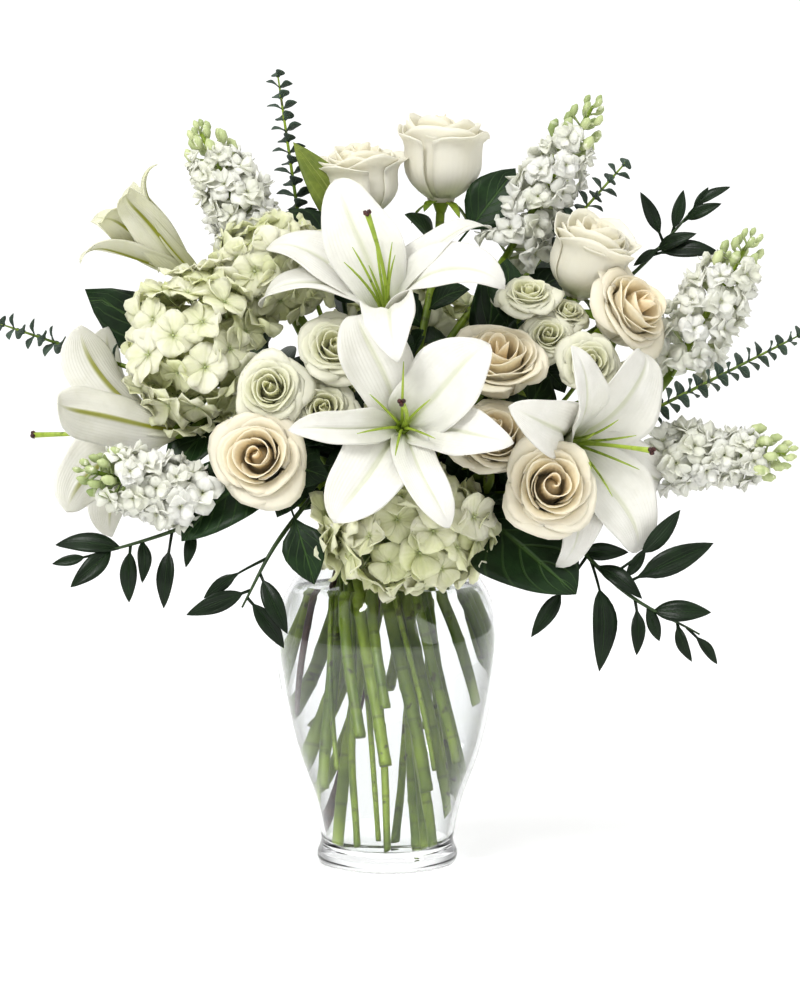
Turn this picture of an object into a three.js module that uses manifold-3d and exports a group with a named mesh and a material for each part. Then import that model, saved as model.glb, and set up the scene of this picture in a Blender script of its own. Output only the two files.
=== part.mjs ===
// A bouquet of white lilies, roses, hydrangea and stock with eucalyptus, ruscus and large leaves, in a vase.
// Millimetres, +Z up. The origin is the middle of the vase's underside and -Y is the side that is looked at.
import * as THREE from "three";
import { mergeVertices } from "three/addons/utils/BufferGeometryUtils.js";
import Module from "manifold-3d";

const wasm = await Module();
wasm.setup();

// ---- Driving dimensions ----
const VASE_OUTLINE = [
  [52, 0], [54.4, 8], [51.3, 20], [58.3, 50.5], [73.8, 94], [84.6, 148],
  [87.1, 180], [80, 209], [65, 232], [48, 247], [46.4, 258], [54, 272],
]; // radius and height of the outer wall, foot to lip
const WALL = 3.4;
const BASE_THICKNESS = 9;
const FLOOR_ROUNDING = 5; // how much narrower the inside is at the floor
const LATHE_SIDES = 16;
const WATER_LEVEL = 216;
const GAP = 0.3; // clearance between two pieces that touch
const CUT_GAP = 0.55; // how far the clearance reaches where a petal or leaf is cut to fit round its neighbour
const MOST_OVERLAP = 0.005; // cubic mm, from rounding
const NUDGES = [0, 0.05, -0.05, 0.1, -0.1]; // tried in turn where a cut comes out unsound
const UNION_TOLERANCE = 0.6; // facets that change a shape by less than this are merged before it is cut
const FACET_TOLERANCES = [0.4, 0.1, 0.03, 0.006]; // and after that, with the first of these that stays sound
const BINDING_HEIGHT = 252; // where the stems pass the neck
// twist is how far a ring's stems lean round the axis and splay how far outward, per mm of height, as a share
// of the ring's radius. vary is how uneven the twist is.
const BINDING_RINGS = [
  { radius: 10, slots: 6, turn: 20, twist: 0.012, vary: 0.4, splay: 0.006 },
  { radius: 22.5, slots: 12, turn: 5, twist: 0.0085, vary: 0.3, splay: 0.002 },
  { radius: 35.5, slots: 18, turn: 2, twist: 0.0085, vary: 0.2, splay: 0.008 },
];
const STEM_SIDES = 5;
const SPRIG_END = 0.8; // radius of a leafy sprig at its tip
const GOLDEN_ANGLE = 137.5;
const EASING_ROUNDS = 400;
const EASING_SLACK = 0.05;
const STEM_RADII = {
  rose: 3.5, spray: 2.4, hydrangea: 4.1, stock: 3.5, eucalyptus: 1.8, ruscus: 1.8, salal: 2.4,
};
const LEAF_THICKNESS = 1.2;
const FLORETS_OF_HEAD = 13; // on a hydrangea, fewer and larger than real ones
const FLORET_RADIUS = 25;
const FLORETS_OF_SPIKE = 8; // on a stock
const PETAL_THICKNESS = 1.5;

// ---- The plants. at is where a bloom sits on its stem, aim is the way it faces, in the part's frame ----
// A tepal is [angle round the axis, lean of its tip, share of the width]. style is the length of the style as
// a share of a tepal's.
const LILY_STEMS = [
  { ring: 1, radius: 4.4, fork: [8, -38, 345], blooms: [
    { at: [2, -76, 420], aim: [-0.2, -0.5, 0.84], length: 120, width: 26, lean: 20, curl: 30, style: 0.78,
      tepals: [
        [108, 54, 1.1], [32, 116, 0.8], [-12, 134, 1], [-83, 125, 0.85], [-189, 134, 0.95], [148, 95, 0.9],
      ] },
    { at: [12, -126, 344], aim: [-0.05, -0.97, 0.24], length: 102, width: 26, lean: 30, curl: 40, style: 0.75,
      tepals: [
        [39, 89, 1.15], [112, 125, 1], [188, 74, 0.55], [238, 92, 1.1], [294, 113, 0.65], [345, 71, 0.8],
      ] },
  ] },
  { ring: 2, radius: 4, fork: [-96, -8, 372], blooms: [
    { at: [-157, -38, 338], aim: [-0.96, 0.2, 0], length: 118, width: 23, lean: 14, curl: 14, style: 1,
      tepals: [[258, 83, 1], [196, 83, 1.05], [136, 86, 1], [68, 88, 0.85], [8, 88, 0.85], [298, 83, 0.85]] },
    { at: [-146, 8, 453], aim: [-0.72, -0.15, 0.62], length: 104, width: 18, lean: 5, curl: 80, style: 0.6,
      tepals: [[15, 40, 0.9], [75, 35, 0.9], [133, 23, 0.9], [220, 40, 0.9], [262, 26, 1.05], [303, 23, 1]] },
  ] },
  { ring: 2, radius: 4, blooms: [
    { at: [132, -84, 333], aim: [0.62, -0.78, -0.08], length: 108, width: 25, lean: 26, curl: 40, style: 0.86,
      tepals: [
        [114, 92, 0.75], [156, 101, 0.9], [48, 128, 1.1], [-24, 134, 0.85], [-70, 89, 1.15], [-110, 110, 0.7],
      ] },
  ] },
];
const ROSES = [
  { at: [42, 45, 513], aim: [0.02, -0.12, 0.99], radius: 33, height: 70, open: 0.12, ring: 0 },
  { at: [-17, 35, 501], aim: [-0.1, -0.15, 0.98], radius: 32, height: 60, open: 0.25, ring: 0 },
  { at: [144, -5, 440], aim: [0.3, -0.3, 0.9], radius: 33, height: 66, open: 0.2, ring: 1 },
  { at: [166, -26, 418], aim: [0.62, -0.62, 0.42], radius: 35, height: 54, open: 0.75, ring: 2 },
  { at: [82, -64, 372], aim: [0.05, -0.68, 0.72], radius: 33, height: 52, open: 0.46, ring: 1 },
  { at: [80, -86, 320], aim: [0.0, -0.8, 0.6], radius: 31, height: 48, open: 0.55, ring: 2 },
  { at: [117, -106, 296], aim: [0.12, -0.95, 0.22], radius: 34, height: 52, open: 0.7, ring: 2 },
  { at: [-90, -94, 318], aim: [-0.15, -0.97, 0.18], radius: 34, height: 52, open: 0.8, ring: 2 },
];
const SPRAYS = [
  { ring: 1, fork: [-44, -42, 352], blooms: [
    { at: [-84, -92, 368], aim: [-0.1, -0.95, 0.28], radius: 26 },
    { at: [-38, -80, 394], aim: [0, -0.85, 0.5], radius: 27 },
    { at: [-46, -90, 352], aim: [0, -0.92, 0.35], radius: 23 },
  ] },
  { ring: 1, fork: [92, -18, 380], blooms: [
    { at: [107, -36, 430], aim: [0, -0.6, 0.8], radius: 22 },
    { at: [134, -36, 420], aim: [0.25, -0.6, 0.75], radius: 17 },
    { at: [120, -50, 404], aim: [0.1, -0.85, 0.5], radius: 20 },
  ] },
  { ring: 2, fork: [122, -30, 350], blooms: [
    { at: [150, -60, 386], aim: [0.15, -0.92, 0.3], radius: 23 },
    { at: [176, -56, 368], aim: [0.35, -0.9, 0.2], radius: 19 },
  ] },
];
// neck is where the stalk enters the head, and into the way that it goes in.
const HYDRANGEAS = [
  { centre: [-142, -34, 400], radii: [54, 54, 66], aim: [-0.75, -0.5, 0.3], neck: [-112, -20, 380],
    into: [-0.8, -0.4, 0.5], ring: 2 },
  { centre: [-86, -6, 458], radii: [48, 46, 42], aim: [-0.45, -0.3, 0.85], neck: [-76, 0, 434],
    into: [-0.4, -0.2, 0.9], ring: 1 },
  { centre: [16, -96, 268], radii: [68, 48, 44], aim: [0.1, -0.96, 0.05], neck: [14, -72, 282],
    into: [0, -0.9, -0.5], ring: 2 },
  { centre: [20, 106, 392], radii: [70, 58, 62], aim: [0.1, 0.85, 0.5], neck: [16, 78, 366],
    into: [0.1, 0.8, 0.6], ring: 1 },
];
const STOCKS = [
  { base: [-99, 2, 478], tip: [-146, 20, 570], radius: 30, ring: 0 },
  { base: [92, 32, 470], tip: [161, 20, 590], radius: 28, ring: 0 },
  { base: [218, -10, 380], tip: [280, -12, 486], radius: 32, ring: 2 },
  { base: [204, -48, 318], tip: [303, -62, 322], radius: 28, ring: 2 },
  { base: [-136, -86, 288], tip: [-222, -120, 314], radius: 31, ring: 2 },
];
const EUCALYPTUS_STEP = 25; // from one pair of leaves to the next
const EUCALYPTUS = [
  { base: [-66, 32, 480], tip: [-86, 44, 616], ring: 1, turn: 20 },
  { base: [-206, -4, 388], tip: [-296, -28, 420], ring: 2, turn: 60 },
  { base: [120, 34, 470], tip: [186, 22, 545], ring: 1, turn: 10 },
  { base: [178, -62, 344], tip: [312, -70, 413], ring: 2, turn: 40 },
];
// A ruscus or salal stem runs through its points. A ruscus leaf is [share of the stem, tip, length of its
// blade] and a salal leaf [share of the stem, angle round it, length].
const RUSCUS_WIDTH = 0.33; // of a blade, as a share of its length
const SALAL_WIDTH = 0.55;
const LAST_NODE = 0.92; // as a share of a stem: the leaf that ends it grows from there
const RUSCUS = [
  { ring: 1, points: [[150, 45, 420], [201, 24, 467], [242, 14, 513]], leaves: [
    [0.62, [191, 14, 464], 22], [0.66, [196, 12, 521], 34], [0.74, [230, 20, 523], 30],
    [0.9, [249, 16, 525], 20], [1, [265, 8, 525], 26], [0.84, [258, 4, 512], 30],
    [0.6, [239, 6, 489], 34], [0.56, [257, 4, 474], 44],
  ] },
  { ring: 2, points: [[-70, -62, 300], [-160, -92, 266], [-222, -104, 248]], leaves: [
    [0.5, [-166, -100, 209], 42], [0.66, [-181, -110, 229], 32], [0.73, [-192, -96, 213], 38],
    [0.86, [-234, -112, 226], 46], [0.8, [-247, -94, 256], 50], [1, [-248, -108, 243], 24],
    [0.4, [-149, -104, 240], 28],
  ] },
  { ring: 2, points: [[110, -52, 292], [172, -106, 226], [232, -112, 191]], leaves: [
    [0.3, [180, -100, 251], 40], [0.44, [218, -104, 283], 42], [0.5, [242, -112, 259], 58],
    [0.5, [193, -98, 254], 26], [0.37, [189, -116, 218], 42], [0.34, [158, -110, 163], 60],
    [0.32, [107, -114, 189], 38], [0.6, [185, -118, 176], 32], [0.68, [203, -104, 185], 30],
    [0.72, [240, -118, 208], 50], [0.86, [226, -116, 171], 28], [1, [246, -106, 168], 26],
  ] },
  { ring: 1, points: [[-52, -70, 296], [-83, -102, 256], [-107, -112, 211]], leaves: [
    [0.6, [-136, -104, 217], 30], [0.86, [-148, -118, 206], 44], [0.72, [-73, -120, 192], 44],
    [1, [-76, -108, 180], 40],
  ] },
];
const SALAL = [
  { ring: 2, points: [[-60, 70, 330], [-110, 120, 420]],
    leaves: [[0.45, 80, 80], [0.6, 200, 84], [0.75, 320, 80], [0.88, 120, 76], [1, 10, 74]] },
  { ring: 2, points: [[70, 74, 330], [126, 112, 410]],
    leaves: [[0.45, 100, 80], [0.6, 340, 84], [0.75, 220, 80], [0.88, 60, 76], [1, 170, 74]] },
  { ring: 0, points: [[-20, 30, 350], [-40, 62, 470]],
    leaves: [[0.4, 30, 80], [0.6, 150, 80], [0.8, 270, 72], [1, 60, 64]] },
  { ring: 1, points: [[52, 52, 350], [104, 84, 440]],
    leaves: [[0.4, 60, 80], [0.6, 190, 80], [0.8, 310, 72], [1, 100, 64]] },
  { ring: 0, points: [[50, -56, 294], [74, -88, 282]], leaves: [] },
];
// A large leaf grows from a stem at a share of its length and reaches out to its tip.
const LEAVES = {
  salal_1: [{ share: 0.98, tip: [-236, 28, 446], width: 50, blade: 90 }],
  salal_4: [{ share: 0.96, tip: [82, 12, 470], width: 44, blade: 70 }],
  salal_5: [{ share: 1, tip: [140, -122, 222], width: 84, blade: 92 }],
  rose_stem_1: [
    { share: 0.8, tip: [100, 30, 540], width: 40, blade: 56 },
    { share: 0.84, tip: [14, 12, 504], width: 38, blade: 56 },
  ],
  rose_stem_2: [
    { share: 0.8, tip: [-73, 24, 560], width: 32, blade: 96 },
    { share: 0.74, tip: [-76, 4, 508], width: 44, blade: 66 },
  ],
  rose_stem_5: [
    { share: 0.8, tip: [92, -20, 470], width: 34, blade: 50 },
    { share: 0.7, tip: [46, -44, 396], width: 42, blade: 56 },
  ],
  rose_stem_6: [{ share: 0.74, tip: [122, -36, 384], width: 44, blade: 60 }],
  rose_stem_8: [
    { share: 0.8, tip: [-152, -108, 260], width: 58, blade: 84 },
    { share: 0.88, tip: [-53, -122, 229], width: 32, blade: 46 },
    { share: 0.92, tip: [-42, -98, 306], width: 36, blade: 46 },
  ],
  hydrangea_stem_1: [{ share: 0.8, tip: [-168, -52, 302], width: 44, blade: 66 }],
};

// ---- Small helpers ----
const vector = (xyz) => new THREE.Vector3(...xyz);
const radians = (degrees) => (degrees * Math.PI) / 180;
const clamp = (x, low, high) => Math.min(high, Math.max(low, x));
/** A number from -1 to 1 that is always the same for the same i and seed. */
function wobble(i, seed) {
  const x = Math.sin(i * 12.9898 + seed * 78.233) * 43758.5453;
  return 2 * (x - Math.floor(x)) - 1;
}
/** The matrix of a frame at a point whose third axis is aim and whose first is X laid square to it. */
function frameAt(at, aim, turn = 0) {
  const axis = aim.clone().normalize();
  const across = new THREE.Vector3(1, 0, 0).addScaledVector(axis, -axis.x);
  if (across.length() < 0.05) across.set(0, 1, 0);
  across.normalize().applyAxisAngle(axis, radians(turn));
  const upward = axis.clone().cross(across);
  return new THREE.Matrix4().makeBasis(across, upward, axis).setPosition(at);
}

/** A manifold-3d solid of a closed geometry, with its faces turned out. */
function solidOf(geometry) {
  geometry.deleteAttribute("normal");
  geometry.deleteAttribute("uv");
  const merged = mergeVertices(geometry, 1e-3);
  const source = merged.index.array;
  const kept = [];
  for (let i = 0; i < source.length; i += 3) {
    const [a, b, c] = source.slice(i, i + 3);
    if (a !== b && b !== c && c !== a) kept.push(a, b, c);
  }
  const build = (triangles) =>
    new wasm.Manifold(
      new wasm.Mesh({
        numProp: 3,
        vertProperties: new Float32Array(merged.attributes.position.array),
        triVerts: new Uint32Array(triangles),
      }),
    );
  const made = build(kept);
  if (made.volume() > 0) return made;
  for (let i = 0; i < kept.length; i += 3) [kept[i], kept[i + 1]] = [kept[i + 1], kept[i]];
  return build(kept);
}

function geometryOf(solid) {
  const { numVert, numProp, vertProperties, triVerts } = solid.getMesh();
  const points = new Float32Array(numVert * 3);
  for (let i = 0; i < numVert; i++)
    points.set(vertProperties.subarray(i * numProp, i * numProp + 3), i * 3);
  const geometry = new THREE.BufferGeometry();
  geometry.setAttribute("position", new THREE.BufferAttribute(points, 3));
  geometry.setIndex(new THREE.BufferAttribute(triVerts, 1));
  return geometry;
}

const joined = (solids) => wasm.Manifold.union(solids);
/** The largest body of a solid with its small facets merged: loose scraps and sealed hollows are dropped. */
function tidied(solid, tolerance) {
  const simple = solidOf(geometryOf(solid.asOriginal().simplify(tolerance)));
  return simple.decompose().reduce((a, b) => (b.volume() > a.volume() ? b : a));
}

/** A leaf-like blade. place(t, u) gives its middle surface, t along it and u from edge to edge. */
function blade(place, rows, columns, thickness) {
  const step = 1e-3;
  const sheet = new THREE.PlaneGeometry(2, 1, columns, rows);
  const flat = sheet.attributes.position;
  const count = flat.count;
  const points = new Float32Array(count * 6);
  for (let i = 0; i < count; i++) {
    const u = flat.getX(i);
    const t = flat.getY(i) + 0.5;
    const p = place(t, u);
    const onEdge = Math.abs(u) > 0.999 || t < 1e-3 || t > 0.999;
    const offset = new THREE.Vector3();
    if (!onEdge) {
      const along = place(t + step, u).sub(place(t - step, u));
      const across = place(t, u + step).sub(place(t, u - step));
      offset.crossVectors(along, across).setLength((thickness / 2) * (1 - 0.3 * u * u));
    }
    points.set(p.clone().add(offset).toArray(), i * 3);
    points.set(p.clone().sub(offset).toArray(), (count + i) * 3);
  }
  const front = Array.from(sheet.index.array);
  const back = [];
  for (let i = 0; i < front.length; i += 3)
    back.push(count + front[i], count + front[i + 2], count + front[i + 1]);
  const geometry = new THREE.BufferGeometry();
  geometry.setAttribute("position", new THREE.BufferAttribute(points, 3));
  geometry.setIndex(front.concat(back));
  return solidOf(geometry);
}

/** A round limb through points, with a radius at each: a cylinder whose rings are moved onto the path. */
function limb(points, radii, sides = STEM_SIDES) {
  const steps = points.length - 1;
  const cylinder = new THREE.CylinderGeometry(1, 1, 1, sides, steps);
  const tangents = points.map((p, i) =>
    points[Math.min(i + 1, steps)].clone().sub(points[Math.max(i - 1, 0)]).normalize(),
  );
  const normals = [];
  let normal = new THREE.Vector3(0.6, 0.8, 0);
  for (const tangent of tangents) {
    normal = normal.clone().addScaledVector(tangent, -normal.dot(tangent)).normalize();
    normals.push(normal);
  }
  const place = cylinder.attributes.position;
  for (let i = 0; i < place.count; i++) {
    const ring = Math.round((place.getY(i) + 0.5) * steps);
    const side = tangents[ring].clone().cross(normals[ring]);
    const p = points[ring].clone();
    p.addScaledVector(normals[ring], place.getX(i) * radii[ring]);
    p.addScaledVector(side, place.getZ(i) * radii[ring]);
    place.setXYZ(i, p.x, p.y, p.z);
  }
  return solidOf(cylinder);
}

// ---- The vase and its water ----
const outerWall = VASE_OUTLINE.map(([r, z]) => new THREE.Vector2(r, z));
const innerWall = outerWall
  .map((p, i) => {
    const [before, after] = [outerWall[Math.max(i - 1, 0)], outerWall[Math.min(i + 1, outerWall.length - 1)]];
    const along = after.clone().sub(before).normalize();
    return new THREE.Vector2(p.x - along.y * WALL, p.y + along.x * WALL);
  })
  .filter((p) => p.y > BASE_THICKNESS + 6);
innerWall.unshift(new THREE.Vector2(innerWall[0].x - FLOOR_ROUNDING, BASE_THICKNESS));
function innerRadius(height) {
  const i = clamp(innerWall.findIndex((p) => p.y > height), 1, innerWall.length - 1);
  const [low, high] = [innerWall[i - 1], innerWall[i]];
  const share = clamp((height - low.y) / (high.y - low.y), 0, 1);
  return (low.x + (high.x - low.x) * share) * Math.cos(Math.PI / LATHE_SIDES);
}
function makeVase() {
  const [under, floor] = [new THREE.Vector2(0, 0), new THREE.Vector2(0, BASE_THICKNESS)];
  const profile = [under, ...outerWall, ...innerWall.slice().reverse(), floor];
  return solidOf(new THREE.LatheGeometry(profile, LATHE_SIDES).rotateX(Math.PI / 2));
}
function makeWater(stems) {
  const side = innerWall.filter((p) => p.y < WATER_LEVEL).map((p) => new THREE.Vector2(p.x - GAP, p.y + GAP));
  const surface = new THREE.Vector2(innerRadius(WATER_LEVEL) - GAP, WATER_LEVEL);
  const profile = [
    new THREE.Vector2(0, BASE_THICKNESS + GAP),
    ...side,
    surface,
    new THREE.Vector2(0, WATER_LEVEL),
  ];
  const body = solidOf(new THREE.LatheGeometry(profile, LATHE_SIDES).rotateX(Math.PI / 2));
  const holes = stems.map(({ foot, neck, radius }) => {
    const end = foot.clone().add(foot.clone().sub(neck).setLength(CUT_GAP));
    return limb([end, neck], [radius + CUT_GAP, radius + CUT_GAP]);
  });
  return body.subtract(joined(holes));
}

// ---- Stems ----
/** Deals the stems of each ring their places in the neck, in the order of the way that they lean. */
function placeStems(plants) {
  BINDING_RINGS.forEach((ring, number) => {
    const held = plants.filter((plant) => plant.ring === number);
    if (held.length > ring.slots) throw new Error(`ring ${number} holds ${held.length} stems`);
    held.sort((a, b) => Math.atan2(a.head.y, a.head.x) - Math.atan2(b.head.y, b.head.x));
    held.forEach((plant, place) => {
      const angle = radians(ring.turn + (place * 360) / held.length - 180);
      const outward = new THREE.Vector3(Math.cos(angle), Math.sin(angle), 0);
      const around = new THREE.Vector3(-outward.y, outward.x, 0);
      plant.neck = outward.clone().multiplyScalar(ring.radius).setZ(BINDING_HEIGHT);
      const splay = ring.splay * (0.5 + 0.5 * wobble(place, number + 3));
      const twist = ring.twist * (1 + ring.vary * wobble(place, number + 6));
      plant.fall = around.multiplyScalar(twist * ring.radius).addScaledVector(outward, splay * ring.radius);
      plant.fall.setZ(-1);
      let depth = 0;
      const footAt = () => plant.neck.clone().addScaledVector(plant.fall, depth);
      while (true) {
        const foot = footAt();
        const room = innerRadius(foot.z - plant.radius * 0.4) - GAP - plant.radius * 1.12;
        const lowest = BASE_THICKNESS + GAP + plant.radius * 0.6;
        if (Math.hypot(foot.x, foot.y) > room || foot.z < lowest) break;
        depth += 1;
      }
      depth -= 1;
      plant.foot = footAt();
    });
  });
}
/** The points of a curve from one point to another that leaves and arrives in given directions. */
function bend(from, leaving, to, arriving, steps) {
  const reach = from.distanceTo(to);
  const curve = new THREE.CubicBezierCurve3(
    from,
    from.clone().addScaledVector(leaving.clone().normalize(), reach * 0.4),
    to.clone().addScaledVector(arriving.clone().normalize(), -reach * 0.35),
    to,
  );
  return curve.getPoints(steps);
}
/** A stem from its foot in the water, straight through the neck, and bent to where it is going. */
function mainStem(plant, to, arriving, steps = 4) {
  const leaving = plant.fall.clone().negate();
  return [plant.foot, ...bend(plant.neck, leaving, to, arriving, steps)];
}
/** Pushes the bent stretches of stems that run too near each other apart. Their ends stay where they are. */
function easeApart(lines) {
  const [onA, onB] = [new THREE.Vector3(), new THREE.Vector3()];
  const pieces = lines.flatMap(({ points, radii, plant, fixed }) =>
    points.slice(1).map((end, i) => ({
      plant,
      ends: [points[i], end],
      free: [i >= fixed, i + 1 >= fixed && i + 2 < points.length],
      radius: Math.max(radii[i], Math.min(radii[i + 1], radii[i] * 1.5)),
      line: new THREE.Line3(points[i], end),
    })),
  );
  for (let round = 0; round < EASING_ROUNDS; round++) {
    let moved = 0;
    pieces.forEach((a, i) => {
      for (const b of pieces.slice(i + 1)) {
        if (a.plant === b.plant) continue;
        const need = a.radius + b.radius + 2 * GAP;
        const distance = Math.sqrt(a.line.distanceSqToLine3(b.line, onA, onB));
        if (distance > need - EASING_SLACK) continue;
        const push = onA.clone().sub(onB);
        if (distance < 1e-3) push.set(0, 0, 1);
        push.setLength((need - distance) * 0.6);
        for (const [piece, at, sign] of [[a, onA, 1], [b, onB, -1]]) {
          const share = clamp(piece.line.closestPointToPointParameter(at, true), 0, 1);
          [1 - share, share].forEach((weight, k) => {
            if (piece.free[k]) piece.ends[k].addScaledVector(push, sign * weight);
          });
        }
        moved++;
      }
    });
    if (!moved) return;
  }
}
const pointAt = (points, share) => new THREE.CatmullRomCurve3(points).getPoint(share);

// ---- Leaves ----
/** A pointed leaf on a stalk, from a root to a tip, with its upper face turned to a side. */
function leafSolid(root, tip, face, width, bladeLength, rows, thickness = LEAF_THICKNESS) {
  const reach = tip.clone().sub(root);
  const length = reach.length();
  const along = reach.clone().normalize();
  const up = face.clone().addScaledVector(along, -face.dot(along)).normalize();
  const across = along.clone().cross(up);
  const stalk = clamp(1 - bladeLength / length, 0, 0.8);
  const place = (t, u) => {
    const share = clamp((t - stalk) / (1 - stalk), 0, 1);
    const half = Math.max(1.4 * (1 - t), (width / 2) * Math.sin(Math.PI * share ** 0.8) ** 0.85 || 0);
    const arch = length * 0.1 * Math.sin(Math.PI * t);
    return root.clone().addScaledVector(reach, t)
      .addScaledVector(up, arch + Math.abs(u) * half * 0.22)
      .addScaledVector(across, u * half);
  };
  return blade(place, rows, 2, thickness);
}

// ---- Lilies ----
/** How far from the axis and along it a tepal's middle line is, and how it leans, at a share of its run. */
function tepalLine(t, start, length, lean, tipLean, curl) {
  const steps = 24;
  let [out, up, angle] = [start, 0, radians(lean)];
  for (let i = 0; i < steps; i++) {
    const s = ((i + 0.5) / steps) * t;
    angle = radians(lean + (tipLean - lean) * s ** 1.15 + curl * clamp((s - 0.7) / 0.3, 0, 1) ** 1.5);
    out += (Math.sin(angle) * length * t) / steps;
    up += (Math.cos(angle) * length * t) / steps;
  }
  return { out, up, angle };
}
/** How wide a tepal is at a share of its length: 1 in its middle, narrow at its base, pointed at its tip. */
const tepalWidth = (t) => ((t + 0.06) * Math.max(0, 1 - t)) ** 0.75 / 0.386;
function lily({ at, aim, length, width, lean, curl, tepals }) {
  const frame = frameAt(vector(at), vector(aim));
  const petals = tepals.map(([angle, tipLean, share], k) => {
    const turn = new THREE.Matrix4().makeRotationZ(radians(angle)).premultiply(frame);
    const half = width * share;
    const [start, ownLean] = k % 2 ? [4, lean + 6] : [2.4, lean]; // every other tepal is an outer one
    const place = (t, u) => {
      const line = tepalLine(t, start, length, ownLean, tipLean, curl);
      const [outward, upward] = [Math.sin(line.angle), Math.cos(line.angle)];
      const wrap = 0.95 * (1 - t) ** 2 + 0.3;
      const w = Math.max(tepalWidth(t), 0.02) * half;
      const inward = (w / wrap) * (1 - Math.cos(wrap * u));
      const y = (w / wrap) * Math.sin(wrap * u);
      const [x, z] = [line.out - upward * inward, line.up + outward * inward];
      return new THREE.Vector3(x, y, z).applyMatrix4(turn);
    };
    const pointed = (t, u) => (t > 0.9995 ? place(0.9995, 0) : place(t, u));
    return blade(pointed, 4, 2, PETAL_THICKNESS);
  });
  const throat = limb([0, 7].map((z) => new THREE.Vector3(0, 0, z).applyMatrix4(frame)), [7, 8.5]);
  return joined([...petals, throat]);
}
/** The filaments and the longer style that stand in a lily's throat. */
function lilyHeart({ at, aim, length, lean, style }) {
  const frame = frameAt(vector(at), vector(aim));
  const placed = (x, y, z) => new THREE.Vector3(x, y, z).applyMatrix4(frame);
  const pistil = limb([placed(0, 0, -1), placed(3, 4, length * style)], [2, 2.4], 4);
  const filaments = [0, 1, 2, 3, 4, 5].map((k) => {
    const angle = radians(k * 60 + 25);
    const at = (out, up) => placed(Math.cos(angle) * out, Math.sin(angle) * out, up);
    return limb([at(0.4, length * 0.12), at(lean, length * 0.54)], [1.3, 1], 3);
  });
  return joined([pistil, ...filaments]);
}

// ---- Roses ----
/** A petal of a rose. layer runs from 0 at the heart to 1 outside. */
function rosePetal(frame, { radius, height, open }, layer, angle, columns) {
  const bowl = radius * (0.22 + (0.74 - 0.26 * open) * layer);
  const flare = radius * layer ** 2 * (0.1 + 0.3 * open);
  const tall = height * (0.98 - 0.3 * open * layer);
  const droop = height * layer ** 2 * open * 0.32;
  const span = radians(92 - 30 * layer);
  const place = (t, u) => {
    const s = t * (1 - 0.24 * Math.abs(u) ** 2.5);
    const swell = Math.sin((Math.PI / 2) * Math.min(1, s / 0.5)) ** 0.75;
    const lip = clamp((s - 0.55) / 0.45, 0, 1);
    const r = (bowl * swell + flare * lip ** 2) * (1 + 0.05 * u);
    const z = tall * s ** 1.1 - droop * lip ** 2;
    const theta = radians(angle) + u * span;
    return new THREE.Vector3(r * Math.cos(theta), r * Math.sin(theta), z).applyMatrix4(frame);
  };
  return blade((t, u) => place(0.1 + 0.9 * t, u), 2, columns, PETAL_THICKNESS);
}
function rose(bloom, outerPetals, seed, columns) {
  const frame = frameAt(vector(bloom.at), vector(bloom.aim), seed * 47);
  const { radius, height } = bloom;
  const on = (share) => new THREE.Vector3(0, 0, height * share).applyMatrix4(frame);
  const heart = limb([on(0.01), on(0.14), on(0.8)], [radius * 0.34, radius * 0.6, radius * 0.14], 5);
  const innerPetals = 1;
  const count = outerPetals + innerPetals;
  const petals = Array.from({ length: count }, (_, k) => {
    const outer = k >= innerPetals;
    const layer = outer ? 0.66 + (0.34 * (k - innerPetals)) / (outerPetals - 1) : 0.28 + 0.18 * k;
    return rosePetal(frame, bloom, layer, k * GOLDEN_ANGLE, outer ? columns : 2);
  });
  return joined([heart, ...petals]);
}
const sprayBloom = (bloom) => ({ ...bloom, height: bloom.radius * 1.15, open: 0.75 });

// ---- Florets that cover a head or a spike ----
/** A floret: a star-edged cup whose point is sunk in what carries it. */
function floret(root, face, radius, lobes, pointsPerLobe, dish, seed) {
  const rim = lobes * pointsPerLobe;
  const cone = new THREE.ConeGeometry(1, 1, rim, 1);
  const frame = frameAt(root, face.clone().sub(root), seed * 71);
  const depth = face.distanceTo(root);
  const place = cone.attributes.position;
  for (let i = 0; i < place.count; i++) {
    const [x, y, z] = [place.getX(i), place.getY(i), place.getZ(i)];
    const p = new THREE.Vector3(0, 0, y > 0 ? 0 : depth + dish);
    if (y < 0 && Math.hypot(x, z) > 0.5) {
      const corner = Math.round((Math.atan2(z, x) / (2 * Math.PI)) * rim + rim) % rim;
      const notch = corner % pointsPerLobe === 0;
      const reach = (radius * (notch ? 0.62 : 1 + 0.12 * wobble(corner, seed))) / Math.hypot(x, z);
      p.set(x * reach, z * reach, depth + 3 * wobble(corner + 9, seed));
    }
    p.applyMatrix4(frame);
    place.setXYZ(i, p.x, p.y, p.z);
  }
  return solidOf(cone);
}
/** Points spread evenly over a head, away from its stem. */
function headDirections(count, aim, reach) {
  const turn = frameAt(new THREE.Vector3(), aim);
  return Array.from({ length: count }, (_, i) => {
    const z = 1 - ((i + 0.5) / count) * (1 + reach);
    const theta = radians(i * GOLDEN_ANGLE);
    const flat = Math.sqrt(1 - z * z);
    return new THREE.Vector3(flat * Math.cos(theta), flat * Math.sin(theta), z).applyMatrix4(turn);
  });
}
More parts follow.
